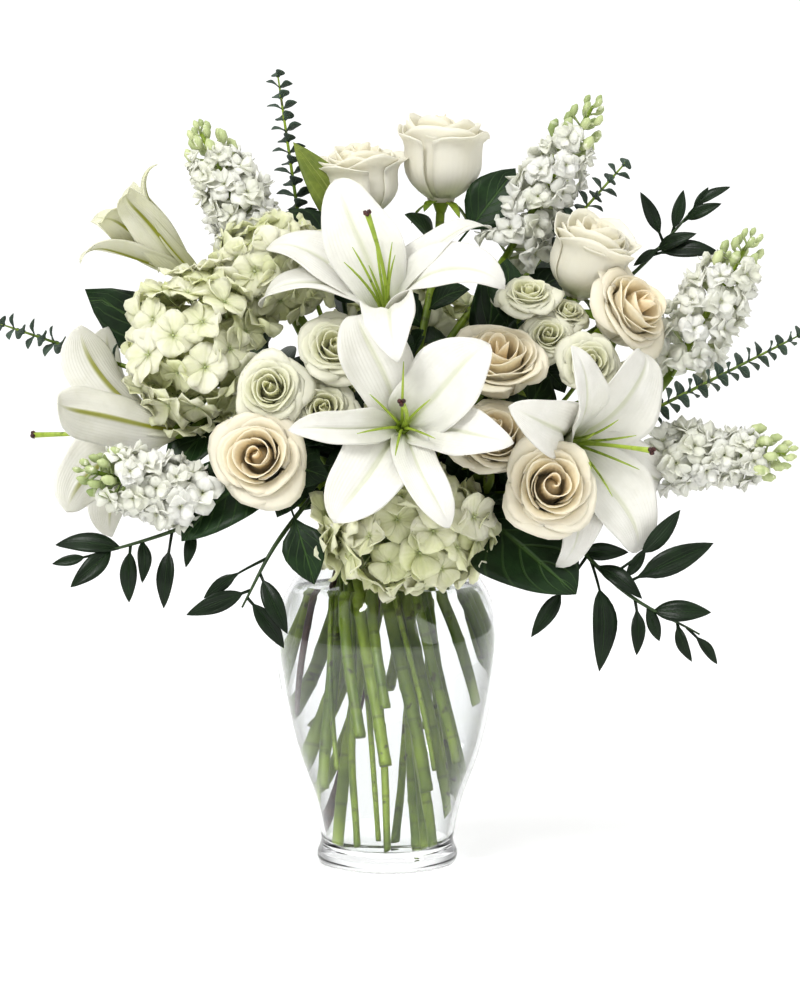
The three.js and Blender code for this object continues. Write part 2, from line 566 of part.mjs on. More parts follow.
/** A head of florets. One that would cross a neighbour is made smaller and sits deeper, or is left out. */
function hydrangea({ centre, radii, aim }, seed, neighbours) {
  const middle = vector(centre);
  const size = vector(radii);
  const core = new THREE.IcosahedronGeometry(1, 0).scale(...size.clone().multiplyScalar(0.62).toArray());
  const florets = headDirections(FLORETS_OF_HEAD, vector(aim).normalize(), 0.4).map((direction, i) => {
    const reach = direction.clone().multiply(size);
    for (const share of [0.92 + 0.05 * wobble(i, seed), 0.8, 0.68]) {
      const face = middle.clone().addScaledVector(reach, share);
      const root = middle.clone().addScaledVector(reach, 0.4);
      const made = floret(root, face, FLORET_RADIUS * share, 4, 2, -4, i + seed);
      if (neighbours.every(({ solid }) => made.minGap(solid, GAP) >= GAP)) return made;
    }
    return null;
  });
  return joined([solidOf(core.translate(...centre)), ...florets.filter(Boolean)]);
}
function stock({ base, tip, radius }, seed) {
  const [from, to] = [vector(base), vector(tip)];
  const axis = to.clone().sub(from);
  const frame = frameAt(from, axis);
  const core = limb([0, 0.3, 0.66].map((s) => from.clone().addScaledVector(axis, s)), [9, 10, 7], 4);
  const florets = Array.from({ length: FLORETS_OF_SPIKE }, (_, i) => {
    const share = 0.02 + (i / (FLORETS_OF_SPIKE - 1)) * 0.66;
    const theta = radians(i * GOLDEN_ANGLE + seed * 50);
    const out = radius * (0.72 - 0.3 * share ** 2);
    const root = from.clone().addScaledVector(axis, share);
    const height = out * 0.35 + axis.length() * share;
    const face = new THREE.Vector3(Math.cos(theta) * out, Math.sin(theta) * out, height).applyMatrix4(frame);
    return floret(root, face, 17 - 6 * share, 4, 2, 3, i + seed);
  });
  return joined([core, ...florets]);
}
/** The green buds that crowd the tip of a stock. */
function stockBuds({ base, tip }, seed) {
  const [from, to] = [vector(base), vector(tip)];
  const axis = to.clone().sub(from);
  const frame = frameAt(from, axis);
  return Array.from({ length: 5 }, (_, i) => {
    const share = 0.74 + 0.24 * (i / 4);
    const theta = radians(i * GOLDEN_ANGLE + seed * 31);
    const out = 13 - 9 * (i / 4);
    const at = (s, lift) => {
      const [x, y] = [Math.cos(theta) * out * s, Math.sin(theta) * out * s];
      return new THREE.Vector3(x, y, axis.length() * share + lift).applyMatrix4(frame);
    };
    return limb([at(0, -3), at(1, 7), at(1.05, 12)], [1, 3.6, 1], 3);
  });
}

// ---- Leafy sprigs ----
function eucalyptusLeaves({ base, tip, turn }) {
  const [from, to] = [vector(base), vector(tip)];
  const axis = to.clone().sub(from);
  const frame = frameAt(from, axis, turn);
  const pairs = Math.round(axis.length() / EUCALYPTUS_STEP);
  const leaves = [];
  for (let pair = 0; pair < pairs; pair++) {
    const size = 16 - 6 * (pair / pairs) ** 2;
    for (const side of [0, 180]) {
      const theta = radians(pair * 90 + side + 12 * wobble(pair, side));
      const height = axis.length() * ((pair + 0.5) / pairs);
      const at = (out, z) =>
        new THREE.Vector3(Math.cos(theta) * out, Math.sin(theta) * out, height + z).applyMatrix4(frame);
      leaves.push(leafSolid(at(0, 0), at(size, 4), axis.clone().normalize(), size * 0.66, size * 0.9, 2, 1));
    }
  }
  return leaves;
}
/** Pointed leaves that hang from a stem to their tips and face the side that is looked at. */
function ruscusLeaves({ points, leaves }) {
  const run = new THREE.CatmullRomCurve3(points.map(vector));
  return leaves.map(([share, tip, bladeLength], k) => {
    const face = new THREE.Vector3(0.6 * wobble(k, 1), -1, 0.35 + 0.4 * wobble(k, 2));
    const root = run.getPoint(Math.min(share, LAST_NODE));
    return leafSolid(root, vector(tip), face, bladeLength * RUSCUS_WIDTH, bladeLength, 2);
  });
}
/** Pointed leaves set round a stem's upper run. */
function salalLeaves({ points, leaves }) {
  const run = new THREE.CatmullRomCurve3(points.map(vector));
  return leaves.map(([share, angle, length]) => {
    const node = Math.min(share, LAST_NODE);
    const root = run.getPoint(node);
    const along = run.getTangent(node);
    const frame = frameAt(root, along);
    const lean = share === 1 ? 0.25 : 0.8;
    const theta = radians(angle);
    const reach = new THREE.Vector3(Math.cos(theta) * lean, Math.sin(theta) * lean, 1 - 0.35 * lean);
    const tip = reach.setLength(length).applyMatrix4(frame);
    const face = new THREE.Vector3(-Math.cos(theta), -Math.sin(theta), 1).transformDirection(frame);
    return leafSolid(root, tip, face, length * SALAL_WIDTH, length * 0.94, 2);
  });
}

// ---- Every plant: its stalks, what else is green on it, and its own leaves or petals ----
const plants = [];
function addPlant(name, ring, radius, head, { arriving, flare = 1, ...grows }) {
  const { branches = [], green = () => [], leaves = () => [] } = grows;
  plants.push({ name, ring, radius, head, arriving, branches, green, leaves, flare });
}
LILY_STEMS.forEach(({ ring, radius, fork, blooms }, i) => {
  const head = vector(fork ?? blooms[0].at);
  const between = fork && vector(blooms[0].at).lerp(vector(blooms[1].at), 0.5).sub(head);
  addPlant(`lily_stem_${i + 1}`, ring, radius, head, {
    arriving: between ?? vector(blooms[0].aim),
    branches: fork ? blooms.map(({ at, aim }) => ({ at, aim, radius: radius * 0.8, flare: 1 })) : [],
    green: () => blooms.map(lilyHeart),
  });
});
ROSES.forEach(({ at, aim, ring }, i) => {
  addPlant(`rose_stem_${i + 1}`, ring, STEM_RADII.rose, vector(at), { arriving: vector(aim), flare: 2.4 });
});
SPRAYS.forEach(({ ring, fork, blooms }, i) => {
  const centre = blooms.reduce((sum, bloom) => sum.add(vector(bloom.at)), new THREE.Vector3());
  addPlant(`spray_roses_${i + 1}`, ring, STEM_RADII.spray, vector(fork), {
    arriving: centre.divideScalar(blooms.length).sub(vector(fork)),
    branches: blooms.map(({ at, aim }) => ({ at, aim, radius: 1.7, flare: 3 })),
    leaves: () => blooms.map((bloom, k) => rose(sprayBloom(bloom), 3, i * 3 + k, 2)),
  });
});
HYDRANGEAS.forEach(({ neck, into, ring }, i) => {
  addPlant(`hydrangea_stem_${i + 1}`, ring, STEM_RADII.hydrangea, vector(neck), { arriving: vector(into) });
});
STOCKS.forEach((spike, i) => {
  const [from, to] = [vector(spike.base), vector(spike.tip)];
  const radii = [STEM_RADII.stock, 2.6, 1.6];
  addPlant(`stock_stem_${i + 1}`, spike.ring, STEM_RADII.stock, from, {
    arriving: to.clone().sub(from),
    green: () => [limb([from, from.clone().lerp(to, 0.5), to], radii), ...stockBuds(spike, i)],
  });
});
EUCALYPTUS.forEach((sprig, i) => {
  const [from, to] = [vector(sprig.base), vector(sprig.tip)];
  addPlant(`eucalyptus_${i + 1}`, sprig.ring, STEM_RADII.eucalyptus, from, {
    arriving: to.clone().sub(from),
    green: () => [limb([from, to], [STEM_RADII.eucalyptus, SPRIG_END])],
    leaves: () => eucalyptusLeaves(sprig),
  });
});
function addSprigs(kind, sprigs, leavesOf) {
  const radius = STEM_RADII[kind];
  sprigs.forEach((sprig, i) => {
    const through = sprig.points.map(vector);
    const run = new THREE.CatmullRomCurve3(through).getPoints(4);
    const radii = run.map((_, k) => (k < run.length - 1 ? radius * (1 - 0.08 * k) : SPRIG_END));
    addPlant(`${kind}_${i + 1}`, sprig.ring, radius, through[0], {
      arriving: through[1].clone().sub(through[0]),
      green: () => [limb(run, radii)],
      leaves: () => leavesOf(sprig),
    });
  });
}
addSprigs("ruscus", RUSCUS, ruscusLeaves);
addSprigs("salal", SALAL, salalLeaves);
placeStems(plants);
for (const plant of plants) {
  const run = mainStem(plant, plant.head, plant.arriving);
  const radii = run.map((_, k) => (k === run.length - 1 ? plant.radius * plant.flare : plant.radius));
  plant.lines = [{ points: run, radii }];
  for (const { at, aim, radius, flare } of plant.branches) {
    const points = bend(plant.head, plant.arriving, vector(at), vector(aim), 2);
    plant.lines.push({ points, radii: points.map((_, k) => (k === 2 ? radius * flare : radius)) });
  }
}
const linesOf = (plant) => plant.lines.map((line, k) => ({ ...line, plant, fixed: k ? 1 : 2 }));
easeApart(plants.flatMap(linesOf));

// ---- Each later piece is cut clear of those made before it ----
const made = [];
const spacer = solidOf(new THREE.OctahedronGeometry(CUT_GAP));
function clearOf(solid, neighbours) {
  let left = solid;
  for (const neighbour of neighbours) {
    if (left.minGap(neighbour.solid, GAP) >= GAP) continue;
    neighbour.grown ??= neighbour.solid.minkowskiSum(spacer).simplify(FACET_TOLERANCES[1]);
    left = left.subtract(neighbour.grown);
  }
  return left;
}
/** True where every edge joins just two faces. It doesn't where a solid touches itself along an edge. */
function isSealed(solid) {
  const { index } = mergeVertices(geometryOf(solid), 1e-3);
  const counts = new Map();
  for (let i = 0; i < index.count; i++) {
    const [a, b] = [index.getX(i), index.getX(i % 3 === 2 ? i - 2 : i + 1)];
    const key = Math.min(a, b) + "_" + Math.max(a, b);
    counts.set(key, (counts.get(key) ?? 0) + 1);
  }
  return [...counts.values()].every((count) => count === 2);
}
/** A solid cut clear of others and joined to its stalk if it has one, moved a hair where that isn't sound. */
function fitted(name, solid, others, stalk) {
  const apart = (body) => others.every((other) => body.intersect(other.solid).volume() < MOST_OVERLAP);
  const plain = solid.asOriginal().simplify(UNION_TOLERANCE);
  for (const nudge of NUDGES) {
    const cut = clearOf(plain.translate(nudge, -nudge, nudge / 2), others);
    const whole = stalk ? stalk.add(cut) : cut;
    for (const tolerance of FACET_TOLERANCES) {
      const body = tidied(whole, tolerance);
      if (isSealed(body) && apart(body)) return body;
    }
  }
  throw new Error(`${name} stays in its neighbour or touches itself`);
}
function keep(name, solid) {
  const body = fitted(name, solid, made);
  made.push({ name, solid: body });
}

keep("vase", makeVase());
for (const plant of plants) {
  const stalks = plant.lines.map(({ points, radii }) => limb(points, radii));
  keep(plant.name, joined([...stalks, ...plant.green()]));
}
const LILIES = LILY_STEMS.flatMap((stem) => stem.blooms);
LILIES.forEach((bloom, i) => keep(`lily_${i + 1}`, lily(bloom)));
ROSES.forEach((bloom, i) => keep(`rose_${i + 1}`, rose(bloom, 4, i, 3)));
STOCKS.forEach((spike, i) => keep(`stock_${i + 1}`, stock(spike, i)));
HYDRANGEAS.forEach((head, i) => keep(`hydrangea_${i + 1}`, hydrangea(head, i * 5, made)));
for (const plant of plants) {
  const large = (LEAVES[plant.name] ?? []).map(({ share, tip, width, blade: bladeLength }) => {
    const end = vector(tip);
    const root = pointAt(plant.lines[0].points.slice(1), share);
    const face = new THREE.Vector3(end.x * 0.4, end.y - 60, 60).normalize();
    return leafSolid(root, end, face, width, bladeLength, 4);
  });
  const leaves = [...large, ...plant.leaves()];
  if (!leaves.length) continue;
  const own = made.find((piece) => piece.name === plant.name);
  const others = made.filter((piece) => piece !== own);
  own.solid = fitted(plant.name, joined(leaves), others, own.solid);
  own.grown = undefined;
}

// ---- The scene graph ----
const COLOURS = {
  vase: ["#dfe9ec", 0.05], water: ["#e8f1f2", 0.02],
  lily: ["#f4f4ef", 0.5], rose: ["#f1e6cf", 0.6],
  spray_roses: ["#ebe8cd", 0.6], hydrangea: ["#e2e5c2", 0.65], stock: ["#f1f2ec", 0.6],
  stem: ["#6f8d35", 0.5],
  eucalyptus: ["#5f7560", 0.6], ruscus: ["#24401f", 0.35], salal: ["#2b4a22", 0.35],
};
function colourOf(name) {
  if (name.includes("_stem_")) return COLOURS.stem;
  return COLOURS[name.replace(/_\d+$/, "")];
}
function meshOf(name, solid) {
  const geometry = geometryOf(solid);
  geometry.computeVertexNormals();
  const [color, roughness] = colourOf(name);
  const mesh = new THREE.Mesh(geometry, new THREE.MeshStandardMaterial({ color, roughness, metalness: 0 }));
  mesh.name = name;
  return mesh;
}
const bouquet = new THREE.Group();
made.forEach(({ name, solid }) => bouquet.add(meshOf(name, solid)));
bouquet.add(meshOf("water", fitted("water", makeWater(plants), made)));

export default bouquet;
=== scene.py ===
"""Lilies, roses, hydrangea and stock with greenery in a clear glass vase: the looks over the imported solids.

Shapes are modelled in millimetres from the same named values as the solids, and finished in metres.
"""

import math

import bmesh
import bpy
from mathutils import Matrix, Quaternion, Vector


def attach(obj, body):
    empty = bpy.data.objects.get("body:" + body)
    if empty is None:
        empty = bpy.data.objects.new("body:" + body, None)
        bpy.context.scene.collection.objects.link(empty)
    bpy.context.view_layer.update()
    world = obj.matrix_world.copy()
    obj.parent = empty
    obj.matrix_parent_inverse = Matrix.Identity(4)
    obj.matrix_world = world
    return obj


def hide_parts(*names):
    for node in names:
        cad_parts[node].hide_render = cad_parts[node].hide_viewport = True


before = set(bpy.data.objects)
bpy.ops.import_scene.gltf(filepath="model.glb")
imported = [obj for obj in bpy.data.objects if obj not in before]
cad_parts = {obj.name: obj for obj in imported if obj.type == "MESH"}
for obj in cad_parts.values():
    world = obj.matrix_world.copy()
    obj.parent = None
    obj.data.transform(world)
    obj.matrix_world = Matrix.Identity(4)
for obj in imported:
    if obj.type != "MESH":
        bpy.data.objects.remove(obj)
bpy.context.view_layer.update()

MM = 0.001
GOLDEN_ANGLE = 137.5  # from one leaf, petal or floret to the next round a stem

# ---- Driving dimensions, as the solids have them ----
VASE_OUTLINE = [
    (52, 0), (54.4, 8), (51.3, 20), (58.3, 50.5), (73.8, 94), (84.6, 148),
    (87.1, 180), (80, 209), (65, 232), (48, 247), (46.4, 258), (54, 272),
]
WALL = 3.4
BASE_THICKNESS = 9
FLOOR_ROUNDING = 5
LATHE_SIDES = 16
WATER_LEVEL = 216
GAP = 0.3
BINDING_HEIGHT = 252
# twist is how far a ring's stems lean round the axis and splay how far outward, per mm of height, as a share
# of the ring's radius. vary is how uneven the twist is.
BINDING_RINGS = [
    dict(radius=10, turn=20, twist=0.012, vary=0.4, splay=0.006),
    dict(radius=22.5, turn=5, twist=0.0085, vary=0.3, splay=0.002),
    dict(radius=35.5, turn=2, twist=0.0085, vary=0.2, splay=0.008),
]
STEM_RADII = dict(rose=3.5, spray=2.4, hydrangea=4.1, stock=3.5, eucalyptus=1.8, ruscus=1.8, salal=2.4)

# A tepal is (angle round the axis, lean of its tip, share of the width). style is the length of the style as
# a share of a tepal's.
LILY_STEMS = [
    dict(ring=1, radius=4.4, fork=(8, -38, 345), blooms=[
        dict(at=(2, -76, 420), aim=(-0.2, -0.5, 0.84), length=120, width=26, lean=20, curl=30, style=0.78,
             tepals=[(108, 54, 1.1), (32, 116, 0.8), (-12, 134, 1),
                     (-83, 125, 0.85), (-189, 134, 0.95), (148, 95, 0.9)]),
        dict(at=(12, -126, 344), aim=(-0.05, -0.97, 0.24), length=102, width=26, lean=30, curl=40, style=0.75,
             tepals=[(39, 89, 1.15), (112, 125, 1), (188, 74, 0.55),
                     (238, 92, 1.1), (294, 113, 0.65), (345, 71, 0.8)]),
    ]),
    dict(ring=2, radius=4, fork=(-96, -8, 372), blooms=[
        dict(at=(-157, -38, 338), aim=(-0.96, 0.2, 0), length=118, width=23, lean=14, curl=14, style=1,
             tepals=[(258, 83, 1), (196, 83, 1.05), (136, 86, 1),
                     (68, 88, 0.85), (8, 88, 0.85), (298, 83, 0.85)]),
        dict(at=(-146, 8, 453), aim=(-0.72, -0.15, 0.62), length=104, width=18, lean=5, curl=80, style=0.6,
             tepals=[(15, 40, 0.9), (75, 35, 0.9), (133, 23, 0.9),
                     (220, 40, 0.9), (262, 26, 1.05), (303, 23, 1)]),
    ]),
    dict(ring=2, radius=4, fork=None, blooms=[
        dict(at=(132, -84, 333), aim=(0.62, -0.78, -0.08), length=108, width=25, lean=26, curl=40, style=0.86,
             tepals=[(114, 92, 0.75), (156, 101, 0.9), (48, 128, 1.1),
                     (-24, 134, 0.85), (-70, 89, 1.15), (-110, 110, 0.7)]),
    ]),
]
ROSES = [
    dict(at=(42, 45, 513), aim=(0.02, -0.12, 0.99), radius=33, height=70, open=0.12, ring=0),
    dict(at=(-17, 35, 501), aim=(-0.1, -0.15, 0.98), radius=32, height=60, open=0.25, ring=0),
    dict(at=(144, -5, 440), aim=(0.3, -0.3, 0.9), radius=33, height=66, open=0.2, ring=1),
    dict(at=(166, -26, 418), aim=(0.62, -0.62, 0.42), radius=35, height=54, open=0.75, ring=2),
    dict(at=(82, -64, 372), aim=(0.05, -0.68, 0.72), radius=33, height=52, open=0.46, ring=1),
    dict(at=(80, -86, 320), aim=(0, -0.8, 0.6), radius=31, height=48, open=0.55, ring=2),
    dict(at=(117, -106, 296), aim=(0.12, -0.95, 0.22), radius=34, height=52, open=0.7, ring=2),
    dict(at=(-90, -94, 318), aim=(-0.15, -0.97, 0.18), radius=34, height=52, open=0.8, ring=2),
]
SPRAYS = [
    dict(ring=1, fork=(-44, -42, 352), blooms=[
        dict(at=(-84, -92, 368), aim=(-0.1, -0.95, 0.28), radius=26),
        dict(at=(-38, -80, 394), aim=(0, -0.85, 0.5), radius=27),
        dict(at=(-46, -90, 352), aim=(0, -0.92, 0.35), radius=23),
    ]),
    dict(ring=1, fork=(92, -18, 380), blooms=[
        dict(at=(107, -36, 430), aim=(0, -0.6, 0.8), radius=22),
        dict(at=(134, -36, 420), aim=(0.25, -0.6, 0.75), radius=17),
        dict(at=(120, -50, 404), aim=(0.1, -0.85, 0.5), radius=20),
    ]),
    dict(ring=2, fork=(122, -30, 350), blooms=[
        dict(at=(150, -60, 386), aim=(0.15, -0.92, 0.3), radius=23),
        dict(at=(176, -56, 368), aim=(0.35, -0.9, 0.2), radius=19),
    ]),
]
HYDRANGEAS = [
    dict(centre=(-142, -34, 400), radii=(54, 54, 66), aim=(-0.75, -0.5, 0.3), neck=(-112, -20, 380),
         into=(-0.8, -0.4, 0.5), ring=2),
    dict(centre=(-86, -6, 458), radii=(48, 46, 42), aim=(-0.45, -0.3, 0.85), neck=(-76, 0, 434),
         into=(-0.4, -0.2, 0.9), ring=1),
    dict(centre=(16, -96, 268), radii=(68, 48, 44), aim=(0.1, -0.96, 0.05), neck=(14, -72, 282),
         into=(0, -0.9, -0.5), ring=2),
    dict(centre=(20, 106, 392), radii=(70, 58, 62), aim=(0.1, 0.85, 0.5), neck=(16, 78, 366),
         into=(0.1, 0.8, 0.6), ring=1),
]
STOCKS = [
    dict(base=(-99, 2, 478), tip=(-146, 20, 570), radius=30, ring=0),
    dict(base=(92, 32, 470), tip=(161, 20, 590), radius=28, ring=0),
    dict(base=(218, -10, 380), tip=(280, -12, 486), radius=32, ring=2),
    dict(base=(204, -48, 318), tip=(303, -62, 322), radius=28, ring=2),
    dict(base=(-136, -86, 288), tip=(-222, -120, 314), radius=31, ring=2),
]
EUCALYPTUS = [
    dict(base=(-66, 32, 480), tip=(-86, 44, 616), ring=1, turn=20),
    dict(base=(-206, -4, 388), tip=(-296, -28, 420), ring=2, turn=60),
    dict(base=(120, 34, 470), tip=(186, 22, 545), ring=1, turn=10),
    dict(base=(178, -62, 344), tip=(312, -70, 413), ring=2, turn=40),
]
# A ruscus or salal stem runs through its points. A ruscus leaf is (share of the stem, tip, length of its
# blade) and a salal leaf (share of the stem, angle round it, length).
RUSCUS_WIDTH = 0.33
SALAL_WIDTH = 0.55
LAST_NODE = 0.92  # as a share of a stem: the leaf that ends it grows from there
RUSCUS = [
    dict(ring=1, points=[(150, 45, 420), (201, 24, 467), (242, 14, 513)], leaves=[
        (0.62, (191, 14, 464), 22), (0.66, (196, 12, 521), 34), (0.74, (230, 20, 523), 30),
        (0.9, (249, 16, 525), 20), (1, (265, 8, 525), 26), (0.84, (258, 4, 512), 30),
        (0.6, (239, 6, 489), 34), (0.56, (257, 4, 474), 44)]),
    dict(ring=2, points=[(-70, -62, 300), (-160, -92, 266), (-222, -104, 248)], leaves=[
        (0.5, (-166, -100, 209), 42), (0.66, (-181, -110, 229), 32), (0.73, (-192, -96, 213), 38),
        (0.86, (-234, -112, 226), 46), (0.8, (-247, -94, 256), 50), (1, (-248, -108, 243), 24),
        (0.4, (-149, -104, 240), 28)]),
    dict(ring=2, points=[(110, -52, 292), (172, -106, 226), (232, -112, 191)], leaves=[
        (0.3, (180, -100, 251), 40), (0.44, (218, -104, 283), 42), (0.5, (242, -112, 259), 58),
        (0.5, (193, -98, 254), 26), (0.37, (189, -116, 218), 42), (0.34, (158, -110, 163), 60),
        (0.32, (107, -114, 189), 38), (0.6, (185, -118, 176), 32), (0.68, (203, -104, 185), 30),
        (0.72, (240, -118, 208), 50), (0.86, (226, -116, 171), 28), (1, (246, -106, 168), 26)]),
    dict(ring=1, points=[(-52, -70, 296), (-83, -102, 256), (-107, -112, 211)], leaves=[
        (0.6, (-136, -104, 217), 30), (0.86, (-148, -118, 206), 44), (0.72, (-73, -120, 192), 44),
        (1, (-76, -108, 180), 40)]),
]
SALAL = [
    dict(ring=2, points=[(-60, 70, 330), (-110, 120, 420)], leaves=[
        (0.45, 80, 80), (0.6, 200, 84), (0.75, 320, 80), (0.88, 120, 76), (1, 10, 74)]),
    dict(ring=2, points=[(70, 74, 330), (126, 112, 410)], leaves=[
        (0.45, 100, 80), (0.6, 340, 84), (0.75, 220, 80), (0.88, 60, 76), (1, 170, 74)]),
    dict(ring=0, points=[(-20, 30, 350), (-40, 62, 470)], leaves=[
        (0.4, 30, 80), (0.6, 150, 80), (0.8, 270, 72), (1, 60, 64)]),
    dict(ring=1, points=[(52, 52, 350), (104, 84, 440)], leaves=[
        (0.4, 60, 80), (0.6, 190, 80), (0.8, 310, 72), (1, 100, 64)]),
    dict(ring=0, points=[(50, -56, 294), (74, -88, 282)], leaves=[]),
]
# A large leaf grows from a stem at a share of its length and reaches out to its tip.
LEAVES = {
    "salal_1": [dict(share=0.98, tip=(-236, 28, 446), width=50, blade=90)],
    "salal_4": [dict(share=0.96, tip=(82, 12, 470), width=44, blade=70)],
    "salal_5": [dict(share=1, tip=(140, -122, 222), width=84, blade=92)],
    "rose_stem_1": [
        dict(share=0.8, tip=(100, 30, 540), width=40, blade=56),
        dict(share=0.84, tip=(14, 12, 504), width=38, blade=56),
    ],
    "rose_stem_2": [
        dict(share=0.8, tip=(-73, 24, 560), width=32, blade=96, look=2),
        dict(share=0.74, tip=(-76, 4, 508), width=44, blade=66),
    ],
    "rose_stem_5": [
        dict(share=0.8, tip=(92, -20, 470), width=34, blade=50),
        dict(share=0.7, tip=(46, -44, 396), width=42, blade=56),
    ],
    "rose_stem_6": [dict(share=0.74, tip=(122, -36, 384), width=44, blade=60)],
    "rose_stem_8": [
        dict(share=0.8, tip=(-152, -108, 260), width=58, blade=84),
        dict(share=0.88, tip=(-53, -122, 229), width=32, blade=46),
        dict(share=0.92, tip=(-42, -98, 306), width=36, blade=46),
    ],
    "hydrangea_stem_1": [dict(share=0.8, tip=(-168, -52, 302), width=44, blade=66)],
}


# ---- Small helpers ----
def clamp(x, low=0.0, high=1.0):
    return min(high, max(low, x))


def wobble(i, seed):
    """A number from -1 to 1 that is always the same for the same i and seed."""
    x = math.sin(i * 12.9898 + seed * 78.233) * 43758.5453
    return 2 * (x - math.floor(x)) - 1


def frame_at(at, aim, turn=0.0):
    """A frame whose third axis is aim and whose first is X laid square to it."""
    axis = Vector(aim).normalized()
    across = Vector((1, 0, 0)) - axis * axis.x
    if across.length < 0.05:
        across = Vector((0, 1, 0))
    across = Quaternion(axis, math.radians(turn)) @ across.normalized()
    placed = Matrix((across, axis.cross(across), axis)).transposed().to_4x4()
    placed.translation = Vector(at)
    return placed


def smooth_run(points, steps):
    """Points on a smooth curve through the given ones."""
    points = [Vector(p) for p in points]
    before = points[0] * 2 - points[1]
    after = points[-1] * 2 - points[-2]
    held = [before, *points, after]
    run = []
    for a, b, c, d in zip(held, held[1:], held[2:], held[3:]):
        for i in range(steps):
            t = i / steps
            square, cube = (2 * a - 5 * b + 4 * c - d) * t**2, (3 * b - a - 3 * c + d) * t**3
            run.append(0.5 * (2 * b + (c - a) * t + square + cube))
    return run + [points[-1]]


def along_run(run, share):
    """The point and the direction at a share of the way along a run of points."""
    at = clamp(share) * (len(run) - 1)
    i = min(int(at), len(run) - 2)
    return run[i].lerp(run[i + 1], at - i), (run[i + 1] - run[i]).normalized()


# ---- Modelling: every shape starts as a grid or a ring ----
def new_shape():
    """An empty mesh whose points carry grain (across, along, shade) and tint (layer, chance). On hydrangea
    florets the chance also carries painted shade.
    """
    bm = bmesh.new()
    bm.verts.layers.float_vector.new("grain")
    bm.verts.layers.float_vector.new("tint")
    return bm


def mark(bm, vert, grain, tint):
    vert[bm.verts.layers.float_vector["grain"]] = Vector(grain)
    vert[bm.verts.layers.float_vector["tint"]] = Vector(tint)


def sheet(bm, place, rows, columns, thickness, tint=(0.5, 0.5), finish=0):
    """A blade from a grid. place(t, u) gives a point of its middle, t along it and u from edge to edge."""
    made = bmesh.ops.create_grid(bm, x_segments=columns, y_segments=rows, size=1)["verts"]
    for vert in made:
        u, t = vert.co.x, (vert.co.y + 1) / 2
        vert.co = place(t, u)
        mark(bm, vert, (u, t, 0), (*tint, 0))
    faces = list(dict.fromkeys(face for vert in made for face in vert.link_faces))
    for face in faces:
        face.material_index = finish
    bmesh.ops.remove_doubles(bm, verts=made, dist=0.02)
    faces = [face for face in faces if face.is_valid]
    bmesh.ops.solidify(bm, geom=faces, thickness=thickness)


def tube(bm, points, radii, sides=8, cut=0.0, tint=(0.5, 0.5), finish=0):
    """A round limb through points, closed at both ends. cut slants the first end, as a knife does."""
    points = [Vector(p) for p in points]
    steps = len(points) - 1
    tangents = [(points[min(i + 1, steps)] - points[max(i - 1, 0)]).normalized() for i in range(steps + 1)]
    start = bmesh.ops.create_circle(bm, cap_ends=True, segments=sides, radius=1)["verts"]
    cap = start[0].link_faces[0]
    cap.material_index = finish
    ring = list(cap.edges)
    across = Vector((0.6, 0.8, 0))
    former = Matrix.Identity(4)
    run = 0.0
    for i, (point, tangent, radius) in enumerate(zip(points, tangents, radii)):
        across = (across - tangent * across.dot(tangent)).normalized()
        here = Matrix((across, tangent.cross(across), tangent)).transposed().to_4x4()
        here = here @ Matrix.Diagonal((radius, radius, radius, 1))
        here.translation = point
        if i:
            run += (point - points[i - 1]).length
            grown = bmesh.ops.extrude_edge_only(bm, edges=ring)["geom"]
            verts = [x for x in grown if isinstance(x, bmesh.types.BMVert)]
            edges = [x for x in grown if isinstance(x, bmesh.types.BMEdge)]
            ring = [edge for edge in edges if all(vert in verts for vert in edge.verts)]
            for x in grown:
                if isinstance(x, bmesh.types.BMFace):
                    x.material_index = finish
        else:
            verts = start
        bmesh.ops.transform(bm, matrix=here @ former.inverted(), verts=verts)
        former = here
        for vert in verts:
            mark(bm, vert, (0, run, 0), (*tint, 0))
    if cut:
        for vert in start:
            vert.co += tangents[0] * cut * (vert.co - points[0]).dot(across)
    end = bmesh.ops.edgeloop_fill(bm, edges=ring)["faces"]
    for face in end:
        face.material_index = finish


def stamp(bm, shape, placed, tint):
    """Sets a copy of a modelled shape into another mesh."""
    held = len(bm.verts)
    bm.from_mesh(shape)
    bm.verts.ensure_lookup_table()
    copied = bm.verts[held:]
    bmesh.ops.transform(bm, matrix=placed, verts=copied)
    layer = bm.verts.layers.float_vector["tint"]
    for vert in copied:
        vert[layer] = Vector((*tint, 0))


def template(build):
    """A shape that is set down many times, as a mesh."""
    bm = new_shape()
    build(bm)
    bmesh.ops.recalc_face_normals(bm, faces=bm.faces)
    mesh = bpy.data.meshes.new("pattern")
    bm.to_mesh(mesh)
    bm.free()
    return mesh


def piece(name, bm, finishes, nodes):
    """Makes an object of what was modelled and sets it in the place of its solids."""
    bmesh.ops.recalc_face_normals(bm, faces=bm.faces)
    bmesh.ops.scale(bm, vec=(MM, MM, MM), verts=bm.verts)
    for face in bm.faces:
        face.smooth = True
    mesh = bpy.data.meshes.new(name)
    bm.to_mesh(mesh)
    bm.free()
    for finish in finishes:
        mesh.materials.append(finish)
    made = bpy.data.objects.new(name, mesh)
    bpy.context.scene.collection.objects.link(made)
    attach(made, "root")
    if nodes:
        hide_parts(*nodes)


# ---- Finishes ----
def colour(code):
    """The linear colour of a six-digit web colour."""
    parts = [int(code[i : i + 2], 16) / 255 for i in (0, 2, 4)]
    return (*[p / 12.92 if p <= 0.04045 else ((p + 0.055) / 1.055) ** 2.4 for p in parts], 1)


